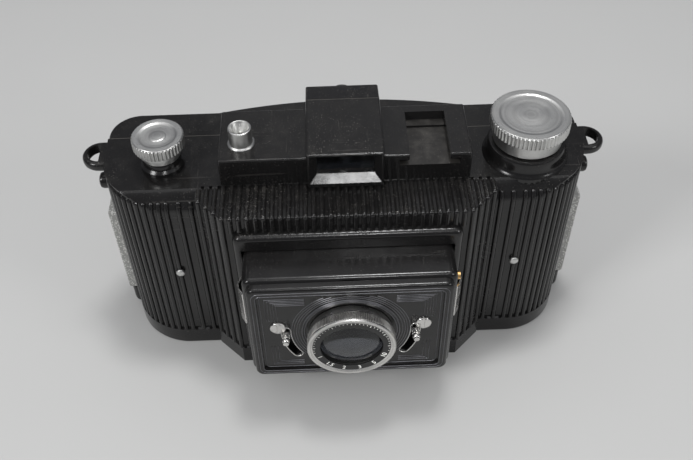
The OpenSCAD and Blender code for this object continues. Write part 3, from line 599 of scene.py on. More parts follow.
def length(name, description, mm):
    return FloatProperty(name=name, description=description, default=mm * MM, unit="LENGTH", precision=5)


def paint(name, description, colour):
    return FloatVectorProperty(name=name, description=description, default=colour, subtype="COLOR", size=3,
                               min=0.0, max=1.0)


class BodySizes(bpy.types.PropertyGroup):
    """Sizes of the ribbed body."""
    wing_front: length("Wing front", "Depth of the wings in front of the spool axes", 17.0)
    bulge_front: length("Bulge front", "Depth of the central bulge in front of the spool axes", 26.0)
    bulge_half: length("Bulge half width", "Half the width of the bulge where it leaves the wings", 47.0)
    flat_half: length("Flat half width", "Half the width of the flat front of the bulge", 38.0)
    end_x: length("End", "Distance from the middle to the flat ends", 77.5)
    corner_r: length("Corner radius", "Radius of the front corners in plan", 20.0)
    shoulder_in: length("Shoulder width", "Width of the sloping shoulder of the wings", 5.0)
    shoulder_h: length("Shoulder height", "Height of the sloping shoulder of the wings", 6.0)
    band: length("Base band", "Height of the smooth band under the ribs", 7.5)
    rib_pitch: length("Rib pitch", "Distance from rib to rib", 2.55)
    rib_w: length("Rib width", "Width of a rib", 1.75)
    rib_h: length("Rib height", "Height of a rib above the ground between ribs", 0.8)
    collar_r: length("Collar rounding", "Rounding of the collar's outer edges", 1.95)
    box_corner: length("Corners", "Radius of the corners of the collar, the lens box and the face plate", 2.8)
    ear_r: length("Ear radius", "Radius of the strap ears in plan", 5.8)
    ear_t: length("Ear thickness", "Thickness of the strap ears", 3.5)


class TrimSizes(bpy.types.PropertyGroup):
    """Sizes of the knobs, the lens ring, the deck's edges and the lines on the face plate."""
    winding_teeth: IntProperty(name="Winding knob teeth", description="Teeth round the winding knob",
                               default=60, min=12)
    supply_teeth: IntProperty(name="Supply knob teeth", description="Teeth round the supply knob",
                              default=42, min=12)
    ring_teeth: IntProperty(name="Lens ring teeth", description="Teeth round the lens ring",
                            default=150, min=24)
    tooth_h: length("Tooth height", "Height of a knob's teeth", 0.42)
    edge: length("Edge rounding", "Rounding of the edges of the deck and hood", 0.55)
    line_w: length("Line width", "Width of the raised lines on the face plate", 0.34)
    line_h: length("Line height", "Height of the raised lines on the face plate", 0.22)


class Looks(bpy.types.PropertyGroup):
    """Colours of the finishes and of the stage."""
    resin: paint("Resin", "Black moulded resin", (0.0075, 0.0072, 0.0072))
    dust: paint("Dust", "Dust that lies on the mouldings", (0.30, 0.28, 0.25))
    bare: paint("Bare metal", "Turned light metal", (0.66, 0.66, 0.645))
    plate: paint("Plating", "Bright plated metal", (0.70, 0.69, 0.67))
    steel: paint("Steel", "Plain spring steel", (0.42, 0.42, 0.41))
    brass: paint("Brass", "Bare brass", (0.60, 0.38, 0.16))
    coating: paint("Glass", "Coated lens glass", (0.80, 0.84, 0.95))
    red: paint("Red glass", "Glass of the red windows", (0.42, 0.012, 0.01))
    marks: paint("Marks", "Paint of the distance marks", (0.80, 0.80, 0.76))
    floor: paint("Floor", "Pale floor", (0.58, 0.58, 0.57))


class StageSizes(bpy.types.PropertyGroup):
    """The viewpoint of the picture."""
    eye: FloatVectorProperty(name="Viewpoint", description="Place of the viewpoint", subtype="TRANSLATION",
                             default=(-0.00477, -0.20935, 0.26417), size=3, precision=5)
    pitch: FloatProperty(name="Pitch", description="Angle that the view looks down", subtype="ANGLE",
                         default=math.radians(47.05))
    yaw: FloatProperty(name="Yaw", description="Angle that the view turns to the right", subtype="ANGLE",
                       default=math.radians(1.36))
    roll: FloatProperty(name="Roll", description="Tilt of the view", subtype="ANGLE",
                        default=math.radians(-1.08))
    focal: FloatProperty(name="Focal length", description="Focal length on a 36 mm wide frame", default=45.70)


# The body

class Maker:
    """What the operators share: each makes its piece or group from the scene's properties."""

    def execute(self, context):
        self.make(context.scene)
        return {"FINISHED"}


def shoulder_arc(b, depth_at, steps=10):
    """(inset, height) points up the shoulder. depth_at gives their depth from the share of the way."""
    slope = math.atan2(b.shoulder_in, b.shoulder_h)
    bend = math.radians(25)            # half the angle that the shoulder's arc turns through
    radius = math.hypot(b.shoulder_in, b.shoulder_h) / 2 / math.sin(bend)
    first = math.pi - slope + bend
    centre = Vector((-radius * math.cos(first), BODY_HI.z - b.shoulder_h - radius * math.sin(first)))
    points = []
    for i in range(steps + 1):
        angle = first - 2 * bend * i / steps
        reach = radius - depth_at(i / steps)
        points.append(centre + reach * Vector((math.cos(angle), math.sin(angle))))
    return points


def wing_form(b, side):
    """The ground between the ribs of one wing, with its base band. At the top it rises to full size."""
    ground = b.rib_h + SKIN
    tips = 0.58                        # share of the shoulder that the ribs climb
    steps = 10

    def sunk(share):
        return SKIN + b.rib_h * (1 if share < tips else (1 - share) / (1 - tips))

    levels = [(0.9 * MM, 0.9 * MM, -1 * MM), (0.35 * MM, 0.35 * MM, 0.3 * MM), (SKIN, SKIN, 1.0 * MM),
              (SKIN, SKIN, b.band), (ground, ground, b.band + 0.35 * MM)]
    for i, (inset, height) in enumerate(shoulder_arc(b, sunk, steps)):
        if height < BODY_HI.z - 0.05 * MM:
            levels.append((inset, sunk(i / steps), height))
    levels += [(b.shoulder_in, 0.12 * MM, BODY_HI.z - 0.1 * MM),
               (b.shoulder_in + 0.2 * MM, 0.35 * MM, BODY_HI.z - SKIN)]
    centre_x = b.end_x - b.corner_r
    centre_y = b.corner_r - b.wing_front
    inner_x = b.bulge_half - 8 * MM
    sections = []
    for inset, around, height in levels:
        face = inset - b.wing_front
        outline = [(inner_x, face)]
        outline += [(x, max(y, face)) for x, y in arc(centre_x, centre_y, b.corner_r - around, -90, 0, 60)]
        outline += [(b.end_x - SKIN, centre_y), (b.end_x - SKIN, BODY_HI.y + MM), (inner_x, BODY_HI.y + MM)]
        sections.append(level(outline, height, side))
    return loft("wing_form", sections)


def bulge_form(b):
    """The ground between the ribs of the bulge, with slanting sides."""
    ground = b.rib_h + SKIN
    half = b.bulge_half - SKIN
    levels = [(SKIN, -1 * MM), (SKIN, b.band), (ground, b.band + 0.35 * MM),
              (ground, BODY_HI.z - ground - 0.3 * MM), (ground + 0.3 * MM, BODY_HI.z - ground)]
    sections = []
    for inset, height in levels:
        outline = [(-half, -10 * MM), (-half, inset - b.wing_front), (-b.flat_half, inset - b.bulge_front),
                   (b.flat_half, inset - b.bulge_front), (half, inset - b.wing_front), (half, -10 * MM)]
        sections.append(level(outline, height))
    return loft("bulge_form", sections)


def ear_form(b, side):
    """A strap ear with rounded edges. Its hole comes from the construction."""
    centre_y = 6.3 * MM
    root_x = b.end_x - 6 * MM
    low, high = BODY_HI.z - b.ear_t + SKIN, BODY_HI.z - SKIN
    levels = inside(0, low, [(-1.1, 0), (-0.5, 0.3), (-0.15, 0.75), (-0.02, 1.3)])
    levels += [(inset, high - (height - low)) for inset, height in levels[::-1]]
    sections = []
    for inset, height in levels:
        radius = b.ear_r - inset
        outline = arc(BODY_HI.x - b.ear_r, centre_y, radius, -90, 90, 20)
        outline += [(root_x, centre_y + radius), (root_x, centre_y - radius)]
        sections.append(level(outline, height, side))
    return loft("ear_form", sections)


def end_forms(b, side):
    """The rounded lobe under a latch strip and the round lug above it."""
    latch_lo, latch_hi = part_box("latch_right")
    ends = sorted((side * (b.end_x - 4 * MM), side * (b.end_x + 3.38 * MM)))
    lobe = rounded_block(
        "lobe_form", (ends[0], latch_lo.y + SKIN, latch_lo.z - 7.78 * MM),
        (ends[1], latch_hi.y - SKIN, latch_lo.z - 0.22 * MM), 2.4 * MM,
        lambda p: abs(p.x) > b.end_x and p.z < latch_lo.z - 0.5 * MM, 6)
    seat = Matrix.Translation((side * b.end_x, latch_lo.y + 2.4 * MM, BODY_HI.z - 11.3 * MM))
    profile = inside(0, 0, [(0, -4), (-2.78, -4), (-2.78, 2.6), (-2.5, 3.3), (-1.8, 3.7),
                            (-1.2, 3.78), (0, 3.78)])
    return [lobe, lathe("lug_form", profile, 32, seat @ Matrix.Rotation(math.radians(90 * side), 4, "Y"))]


def body_forms(b):
    """All the forms that stand for the outside of the front body."""
    top = BODY_HI.z - SKIN
    collar = rounded_block(
        "collar_form", (-COLLAR_W + SKIN, BODY_LO.y + SKIN, LENS_Z - COLLAR_H + SKIN),
        (COLLAR_W - SKIN, -10 * MM, LENS_Z + COLLAR_H - SKIN), b.collar_r,
        lambda p: p.y < -12 * MM, 6, b.box_corner)
    core = rounded_block(
        "core_form", (-b.bulge_half + SKIN, DECK_LO.y - 0.2 * MM, -MM),
        (b.bulge_half - SKIN, BODY_HI.y + MM, top), 0.05 * MM, segments=1)
    boss_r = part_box("winding_boss")[1].x - KNOB_MID.x - SKIN
    foot = BODY_HI.z - 8 * MM
    boss = lathe("boss_form", [(0, foot), (boss_r, foot), (boss_r, top), (0, top)], 96,
                 Matrix.Translation((KNOB_MID.x, 0, 0)))
    forms = [core, bulge_form(b), collar, boss]
    for side in (-1, 1):
        forms += [wing_form(b, side), ear_form(b, side), *end_forms(b, side)]
    return forms


def rib_section(b):
    """The section of a rib, with its foot sunk in the ground."""
    return half_round(b.rib_w, b.rib_h + SUNK - 0.01 * MM, 8)


class CAMERA_OT_front_body(Maker, bpy.types.Operator):
    """Makes the front moulding with its collar, shoulders and strap ears"""
    bl_idname = "camera.front_body"
    bl_label = "Front body"

    def make(self, scene):
        round_off("front_body", "body_shell", "body", "resin", *body_forms(scene.camera_body))


class CAMERA_OT_wing_ribs(Maker, bpy.types.Operator):
    """Sets upright half-round ribs along both wings and round their corners"""
    bl_idname = "camera.wing_ribs"
    bl_label = "Wing ribs"

    def make(self, scene):
        b = scene.camera_body
        start = b.bulge_half + 1.6 * MM          # the first rib
        corner_x = b.end_x - b.corner_r          # where the front ends and the corner begins
        straight = int((corner_x - start) / b.rib_pitch) + 1
        last_turn = math.radians(84)
        count = int((corner_x - start + b.corner_r * last_turn) / b.rib_pitch) + 1
        pieces = []
        for side in (-1, 1):
            unit = self.rib(b, 0.0)
            if side < 0:
                mirrored(unit, (0, 1, 0))
            curve = bpy.data.curves.new("wing_path", "CURVE")
            curve.dimensions = "3D"
            spline = curve.splines.new("POLY")
            spline.points.add(1)
            for spot, x in zip(spline.points, (start, start + (straight - 1) * b.rib_pitch)):
                spot.co = (side * x, -b.wing_front, 0, 1)
            line = placed("wing_path", curve)
            pieces.append(STATE["row"].make("wing_row", unit, "wing_resin", {
                "Path": line, "Pitch": b.rib_pitch}))
            bpy.data.objects.remove(line)
            for i in range(straight, count):
                turn = (start + i * b.rib_pitch - corner_x) / b.corner_r
                rib = self.rib(b, turn)
                rib.data.transform(
                    Matrix.Translation((corner_x, b.corner_r - b.wing_front, 0))
                    @ Matrix.Rotation(turn, 4, "Z") @ Matrix.Translation((0, -b.corner_r, 0)))
                pieces.append(rib if side > 0 else mirrored(rib, (1, 0, 0)))
        finish_piece(joined("wing_ribs", pieces), "body", "wing_resin")

    def rib(self, b, turn):
        """One rib at the front face, leaning back up the shoulder as its turn round the corner allows."""
        ground = b.rib_h + SKIN + SUNK
        points = [Vector((ground, b.band - 0.3 * MM)), Vector((ground, 36 * MM))]
        for inset, height in shoulder_arc(b, lambda t: ground, 20)[:12]:
            away = b.corner_r - (b.corner_r - inset) / math.cos(turn)
            points.append(Vector((max(ground, away), height)))
        tip = 0.8 * MM                   # length of the rounded upper end
        path = []
        directions = []
        shrink = []
        for i, point in enumerate(points):
            ahead = (points[min(i + 1, len(points) - 1)] - points[max(i - 1, 0)]).normalized()
            path.append(Vector((0, point.x, point.y)))
            directions.append((Vector((1, 0, 0)), Vector((0, -ahead.y, ahead.x))))
            left = min((points[-1] - point).length / tip, 1.0)
            shrink.append(max(math.sqrt(1 - (1 - left) ** 2), 0.05))
        return sweep("rib", path, directions, rib_section(b), shrink)


class CAMERA_OT_bulge_ribs(Maker, bpy.types.Operator):
    """Runs ribs forwards over the bulge and down its front and sides"""
    bl_idname = "camera.bulge_ribs"
    bl_label = "Bulge ribs"

    def make(self, scene):
        b = scene.camera_body
        ground = b.rib_h + SKIN + SUNK
        top = BODY_HI.z - ground
        turn = 0.35 * MM                 # radius of the bend from the top to the front
        collar_top = LENS_Z + COLLAR_H - 0.15 * MM
        slant = (b.bulge_front - b.wing_front) / (b.bulge_half - b.flat_half)
        count = int((b.bulge_half - b.rib_w / 2) / b.rib_pitch)
        pieces = []
        for i in range(-count, count + 1):
            x = i * b.rib_pitch
            front = ground - min(b.bulge_front, b.wing_front + slant * (b.bulge_half - abs(x)))
            foot = collar_top if abs(x) < COLLAR_W else b.band - 0.3 * MM
            path = [Vector((x, DECK_LO.y + 0.1 * MM, top))]
            ups = [Vector((0, 0, 1))]
            for step in range(5):
                up = Vector((0, -math.sin(math.pi / 8 * step), math.cos(math.pi / 8 * step)))
                path.append(Vector((x, front + turn, top - turn)) + turn * up)
                ups.append(up)
            path.append(Vector((x, front, foot)))
            ups.append(Vector((0, -1, 0)))
            pieces.append(sweep("rib", path, [(Vector((1, 0, 0)), up) for up in ups], rib_section(b)))
        finish_piece(joined("bulge_ribs", pieces), "body", "rib_resin")


class CAMERA_OT_deck(Maker, bpy.types.Operator):
    """Makes the raised deck with its accessory shoe, and the finder hood"""
    bl_idname = "camera.deck"
    bl_label = "Deck and hood"

    def make(self, scene):
        trim = scene.camera_trim
        form = rounded_block("deck_form", (DECK_LO.x + SKIN, DECK_LO.y + SKIN, DECK_LO.z - MM),
                             (DECK_HI.x - SKIN, DECK_HI.y - SKIN, DECK_HI.z - SKIN), trim.edge,
                             lambda p: p.z > DECK_LO.z)
        round_off("top_deck", "deck", "body", "deck_resin", form)
        front, rear, top, foot = HOOD_LO.y + SKIN, HOOD_HI.y - SKIN, HOOD_HI.z - SKIN, BODY_HI.z - MM
        side = [(front, foot), (front, top), (BODY_HI.y, top), (rear, top - 1.8 * MM), (rear, foot)]
        hood = loft("hood_form", [[(x, y, z) for y, z in side] for x in (HOOD_LO.x + SKIN, HOOD_HI.x - SKIN)])
        reshape(hood, lambda shell: bevel(shell, shell.edges[:], trim.edge * 1.2, 4))
        round_off("finder_hood", "hood", "body", "resin", hood)


# Knobs and release

def tooth(width, depth, low, high, taper=0.35 * MM):
    """One upright tooth of a knurl, with X outwards and sloped ends."""
    sections = []
    for reach, height in [(0, low), (depth, low + taper), (depth, high - taper), (0, high)]:
        half = [(-depth, width / 2), (reach * 0.1, width / 2), (reach, width * 0.16)]
        sections.append(level([(x, -y) for x, y in half] + half[::-1], height))
    return loft("tooth", sections)


def knurled(name, body, finish, place, count, root, share, *span):
    """One object from a turned body and a ring of teeth. share is a tooth's part of the pitch."""
    unit = tooth(2 * math.pi * root / count * share, *span)
    teeth = STATE["ring"].make("teeth", unit, finish, {"Count": count, "Radius": root}, place)
    return joined(name, [body, teeth])


def dished_top(radius, inner, top, floor, hub, rise, circles):
    """(radius, height) points from a knob's flat rim inwards over its dish to its hub."""
    points = [(radius, top), *inside(inner, top, [(-0.3, 0), (0, -0.05)]),
              *inside(inner, floor, [(0.45, 0.06), (0.7, 0)])]
    edge = inner - 0.7 * MM
    hollow = 0.07 * MM
    ridge = 0.025 * MM
    for i in range(circles * 2):
        share = (i + 1) / (circles * 2)
        points.append((edge - (edge - hub - 0.4 * MM) * share,
                       floor - hollow * math.sin(math.pi * share) + i % 2 * ridge))
    return points + [(hub + 0.2 * MM, floor), (hub, floor + 0.7 * rise),
                     (hub - 0.3 * MM, floor + rise), (0, floor + rise)]


class CAMERA_OT_knobs(Maker, bpy.types.Operator):
    """Turns the winding knob on its boss and the supply knob on its collar, with knurled rims"""
    bl_idname = "camera.knobs"
    bl_label = "Knobs"

    def make(self, scene):
        trim = scene.camera_trim
        self.winding_knob(trim)
        self.supply_knob(trim)
        self.boss()
        self.collar()

    def winding_knob(self, trim):
        place = upright(KNOB_MID)
        low, high = KNOB_LO.z, KNOB_HI.z
        radius = KNOB_HI.x - KNOB_MID.x
        root = radius - trim.tooth_h
        rim = low + 5.0 * MM             # where the knurled rim begins
        bore = 2.92 * MM
        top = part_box("winding_shaft")[1].z + SKIN
        profile = [(0, top), (bore, top), (bore, low), *inside(radius, low, [(2.1, 0), (1.6, 0.4)]),
                   *inside(radius, rim, [(1.55, -0.5)]), *inside(root, rim, [(0.5, -0.15), (0, 0.1)]),
                   *inside(root, high, [(0, -0.3), (0.04, -0.12)])]
        profile += dished_top(root - 0.15 * MM, radius * 0.79, high, high - 0.3 * MM, 3.1 * MM, 0.03 * MM, 9)
        knob = knurled("winding_knob_turned", lathe("knob", profile, 144, place), "winding", place,
                       trim.winding_teeth, root, 0.86, trim.tooth_h, rim + 0.15 * MM, high - 0.12 * MM)
        finish_piece(knob, "winding", "winding", ["winding_knob"], 28)

    def supply_knob(self, trim):
        place = upright(SUPPLY_MID)
        low, high = SUPPLY_LO.z, SUPPLY_HI.z
        radius = SUPPLY_HI.x - SUPPLY_MID.x
        tooth_h = trim.tooth_h * 0.85
        root = radius - tooth_h
        rim = low + 2.7 * MM
        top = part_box("supply_pin")[1].z + SKIN
        profile = [(0, top), (PIN_BORE, top), (PIN_BORE, low), *inside(radius, low, [(2.2, 0), (2.0, 0.2)]),
                   *inside(radius, rim, [(2.0, -0.5), (1.2, -0.1), (0.75, 0), (0.75, 0.8)]),
                   (root, rim + 1.0 * MM), *inside(root, high, [(0, -0.3), (0.04, -0.12)])]
        profile += dished_top(root - 0.15 * MM, radius * 0.74, high, high - 0.4 * MM, 2.5 * MM, 0.22 * MM, 5)
        knob = knurled("supply_knob_turned", lathe("knob", profile, 112, place), "supply", place,
                       trim.supply_teeth, root, 0.84, tooth_h, rim + 1.0 * MM, high - 0.12 * MM)
        finish_piece(knob, "supply_knob_body", "supply", ["supply_knob"], 28)

    def boss(self):
        """The black ring under the winding knob. Its steps are in mm inwards and in shares of its height."""
        low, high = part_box("winding_boss")
        rise = high.z - low.z
        bore = 2.96 * MM
        steps = [(0, 0.0), (0.12, 0.06), (0.5, 0.13), (0.95, 0.24), (1.15, 0.4), (1.2, 0.62), (1.3, 0.82),
                 (1.65, 0.94), (2.2, 0.99)]
        profile = [(high.x - KNOB_MID.x - inset * MM - SKIN, share * rise) for inset, share in steps]
        profile = [(bore, 0), *profile, (bore, rise - SKIN), (bore, 0)]
        ring = lathe("knob_boss", profile, 128, Matrix.Translation((KNOB_MID.x, 0, low.z)))
        finish_piece(ring, "body", "resin", ["winding_boss"])

    def collar(self):
        """The black collar under the supply knob."""
        low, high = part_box("supply_collar")
        rise = high.z - low.z
        radius = high.x - SUPPLY_MID.x
        profile = [(PIN_BORE, 0), (radius - SKIN, 0),
                   *inside(radius, 0, [(0.08, 1.3), (0.5, 1.75), (0.85, 2.1)]),
                   *inside(radius, rise, [(0.95, -1.0), (1.25, -0.35)]),
                   (radius - 1.8 * MM, rise - SKIN), (PIN_BORE, rise - SKIN), (PIN_BORE, 0)]
        ring = lathe("supply_knob_collar", profile, 96, upright(SUPPLY_MID, low.z))
        finish_piece(ring, "body", "resin", ["supply_collar"])


class CAMERA_OT_release(Maker, bpy.types.Operator):
    """Turns the release button with its cup for a cable release"""
    bl_idname = "camera.release"
    bl_label = "Release button"

    def make(self, scene):
        radius = BUTTON_HI.x - BUTTON_MID.x
        low, high = BUTTON_LO.z, BUTTON_HI.z
        lip = 0.62 * MM
        bore = 1.3 * MM
        profile = [(0, low), *inside(radius, low, [(0.2, 0), (0.02, 0.3)]),
                   *inside(radius, high, [(0.02, -0.45), (0.15, -0.12), (0.4, 0), (0.62, -0.05)])]
        steps = 14
        for i in range(1, steps + 1):
            ripple = 0.03 * MM if i % 2 else 0
            profile.append((radius - lip - (radius - lip - bore) * i / steps,
                            high - 0.05 * MM - 3.35 * MM * i / steps + ripple))
        profile += [(bore, high - 5.9 * MM), (0, high - 6 * MM)]
        button = lathe("release_button_turned", profile, 80, upright(BUTTON_MID))
        finish_piece(button, "release", "button", ["release_button"], 30)
        low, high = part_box("button_ring")
        outer = (high.x - low.x) / 2
        bore = radius + 0.05 * MM
        rise = high.z - low.z
        profile = [(bore, 0), (outer, 0), (outer, rise * 0.35), (outer - 0.25 * MM, rise * 0.8),
                   (outer - 0.45 * MM, rise), (bore, rise), (bore, 0)]
        ring = lathe("button_base", profile, 72, upright(BUTTON_MID, low.z))
        finish_piece(ring, "body", "button", ["button_ring"])


# Lens box and face plate

def plate_line(points, trim, front, closed=False, wider=1.0, higher=1.0):
    """A raised line on the face plate through (x, z) points."""
    path = [Vector((x, front, z)) for x, z in points]
    section = half_round(trim.line_w * wider, trim.line_h * higher, 4)
    outwards = Vector((0, -1, 0))
    frames = []
    count = len(path)
    for i in range(count):
        before = path[(i - 1) % count] if closed or i else path[i]
        after = path[(i + 1) % count] if closed or i < count - 1 else path[i]
        frames.append(((after - before).normalized().cross(outwards), outwards))
    if closed:
        path.append(path[0])
        frames.append(frames[0])
    return sweep("line", path, frames, section, None, not closed)


def rounded_outline(half_w, half_h, radius, steps=6):
    """Points round a rectangle with round corners, about the lens axis."""
    points = []
    for cx, cz, start in [(1, 1, 0), (-1, 1, 90), (-1, -1, 180), (1, -1, 270)]:
        centre = (cx * (half_w - radius), LENS_Z + cz * (half_h - radius))
        points += arc(*centre, radius, start, start + 90, steps)
    return points


class CAMERA_OT_lens_box(Maker, bpy.types.Operator):
    """Makes the sliding lens box with rounded edges"""
    bl_idname = "camera.lens_box"
    bl_label = "Lens box"

    def make(self, scene):
        wall = 1.2 * MM - SKIN           # how far the box's outside lies outside the face plate
        half_w = PLATE_HI.x + wall
        half_h = PLATE_HI.z - LENS_Z + wall
        tube = rounded_block("tube_form", (-half_w, BOX_LO.y + SKIN, LENS_Z - half_h),
                             (half_w, BOX_HI.y, LENS_Z + half_h), 1.7 * MM,
                             lambda p: p.y < BOX_HI.y - MM, 5, scene.camera_body.box_corner)
        flange = rounded_block("flange_form", (BOX_LO.x + SKIN, BOX_HI.y - 2.5 * MM, BOX_LO.z + SKIN),
                               (BOX_HI.x - SKIN, BOX_HI.y + MM, BOX_HI.z - SKIN), 0.4 * MM, segments=2)
        round_off("lens_box", "lens_box_shell", "box", "box_resin", tube, flange)


class CAMERA_OT_face_plate(Maker, bpy.types.Operator):
    """Makes the face plate with its border lines, corner lines and rings"""
    bl_idname = "camera.face_plate"
    bl_label = "Face plate"

    def make(self, scene):
        trim = scene.camera_trim
        form = rounded_block("plate_form", (PLATE_LO.x + SKIN, PLATE_LO.y + SKIN, PLATE_LO.z + SKIN),
                             (PLATE_HI.x - SKIN, PLATE_HI.y + MM, PLATE_HI.z - SKIN), 1.2 * MM,
                             lambda p: p.y < PLATE_HI.y, 5, scene.camera_body.box_corner)
        round_off("face_plate", "face_plate_moulding", "box", "plate_resin", form)
        front = PLATE_LO.y + 0.04 * MM
        panel = PLATE_LO.y + 0.94 * MM
        half_w = PLATE_HI.x
        half_h = PLATE_HI.z - LENS_Z
        lines = []
        for inset, depth, radius in [(1.6, front, 2.4), (2.75, front, 1.6), (3.9, panel, 1.2)]:
            outline = rounded_outline(half_w - inset * MM, half_h - inset * MM, radius * MM)
            lines.append(plate_line(outline, trim, depth, True))
        for side in (-1, 1):
            for corner in self.corner_lines(half_w, half_h):
                lines.append(plate_line([(side * x, LENS_Z + z) for x, z in corner], trim, panel))
            for radius, top in [(18.9, 64), (18.1, 71), (17.3, 90), (16.5, 90)]:
                bow = arc(0, LENS_Z, radius * MM, -38, top, 40)
                lines.append(plate_line([(side * x, z) for x, z in bow], trim, panel))
        for radius in (15.5, 14.75):
            ring = arc(0, LENS_Z, radius * MM, 0, 354, 59)
            lines.append(plate_line(ring, trim, panel, True, 1.9, 2.0))
        # The lines take the grey metal finish, a painted sheen, in place of the plate's own black resin.
        finish_piece(joined("plate_lines", lines), "box", "line_resin", smooth=60)

    def corner_lines(self, half_w, half_h):
        """Bent lines in the upper and lower right corner, as (x, z) points from the lens axis."""
        found = []
        for way, count, inset, pitch, fall, near, inner in [
                (1, 5, 5.4, 0.85, 0.75, 6.2, 14.2), (-1, 3, 6.2, 1.0, 0.9, 7.0, 15.5)]:
            for i in range(count):
                x = half_w - (inset + pitch * i) * MM
                z = way * (half_h - (5.4 + fall * i) * MM)
                found.append([(x, way * near * MM), (x, z), (inner * MM, z)])
        return found


class CAMERA_OT_slots(Maker, bpy.types.Operator):
    """Rims the two lever slots and sets the lever knobs on their pins"""
    bl_idname = "camera.slots"
    bl_label = "Slots and lever knobs"

    def make(self, scene):
        panel = PLATE_LO.y + 0.92 * MM
        pin_r = 20.6 * MM                # from the lens axis to the middle of a slot
        half = 1.55 * MM                 # half the width of a slot
        first, last = -33, 3             # where a slot begins and ends, in degrees

        def round_end(at, start):
            """Points round one end of a slot, between the ends of its long sides."""
            return arc(*arc(0, LENS_Z, pin_r, at, at, 1)[0], half, start, start + 180, 8)[1:-1]

        outline = [*arc(0, LENS_Z, pin_r + half, first, last, 16), *round_end(last, last),
                   *arc(0, LENS_Z, pin_r - half, last, first, 16), *round_end(first, first + 180)]
        rims = []
        for side in (-1, 1):
            points = [(side * x, z) for x, z in outline]
            rims.append(plate_line(points[::side], scene.camera_trim, panel, True))
        finish_piece(joined("slot_rims", rims), "box", "plated", smooth=60)
        foot = panel - 0.45 * MM
        ball = 1.28 * MM
        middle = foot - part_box("aperture_lever")[0].y - 1.3 * MM
        stem = [(0, 0), (1.1, 0), (1.25, 0.15), (1.25, 0.9)]
        for ring in (1.0, 2.0):
            stem += [(1.05, ring), (1.05, ring + 0.2), (1.25, ring + 0.3), (1.25, ring + 0.9)]
        profile = [(radius * MM, height * MM) for radius, height in stem]
        for i in range(9):
            angle = math.radians(-35 + 125 * i / 8)
            profile.append((max(ball * math.cos(angle), 0) if i < 8 else 0, middle + ball * math.sin(angle)))
        for side, body, name in [(-1, "aperture", "aperture_lever_knob"), (1, "time", "time_lever_knob")]:
            knob = lathe(name, profile, 32, along_y((side * pin_r, foot, LENS_Z)))
            finish_piece(knob, body, "plated", smooth=30)


class CAMERA_OT_fasteners(Maker, bpy.types.Operator):
    """Sets the plate screws and the rivets"""
    bl_idname = "camera.fasteners"
    bl_label = "Screws and rivets"

    def head(self, radius, rim, dome, shank_r, shank):
        """A domed head with its flat underside at height 0, on a shank below it."""
        profile = [(0, -shank), (shank_r, -shank), (shank_r, 0), (radius, 0), (radius, rim * MM)]
        for i in range(1, 9):
            angle = math.radians(90 * i / 8)
            profile.append((radius * math.cos(angle) if i < 8 else 0, (rim + dome * math.sin(angle)) * MM))
        return profile

    def make(self, scene):
        low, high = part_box("plate_screws")
        radius = (high.z - low.z) / 2
        seat_y = low.y + 1.1 * MM
        screw = lathe("screw", self.head(radius, 0.35, 0.72, 1.2 * MM, high.y - seat_y), 48)
        slot_w = 0.36 * MM
        slot = rounded_block("slot", (-slot_w, -4 * MM, 0.45 * MM), (slot_w, 4 * MM, 3 * MM), 0.02 * MM,
                             segments=1)
        combine(screw, slot, "DIFFERENCE")
        places = [((side * (high.x - radius), seat_y, (low.z + high.z) / 2), (0, -1, 0)) for side in (-1, 1)]
        finish_piece(heads("plate_screw_heads", screw, "plated", places), "box", "plated",
                     ["plate_screws"])
        for node, size, seat, shank_r, shank, heights in [
                ("wing_rivets", 1.5, 0.5, 1.0, 4.4, 1), ("end_rivets", 1.5, 0.9, 0.8, 1.5, 1),
                ("latch_rivets", 2.2, 0.8, 1.1, 6.3, 2)]:
            low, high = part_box(node)
            rows = [(low.z + high.z) / 2] if heights == 1 else [low.z + size * MM, high.z - size * MM]
            places = []
            for side, z in [(side, z) for side in (-1, 1) for z in rows]:
                if node == "wing_rivets":
                    places.append(((side * (high.x - size * MM), low.y + seat * MM, z), (0, -1, 0)))
                else:
                    places.append(((side * (high.x - seat * MM), (low.y + high.y) / 2, z), (side, 0, 0)))
            unit = lathe("rivet", self.head(size * MM, 0.1, 0.7, shank_r * MM, shank * MM), 32)
            finish_piece(heads(node + "_domed", unit, "rivet", places), "body", "rivet",
                         [node])


# The lens

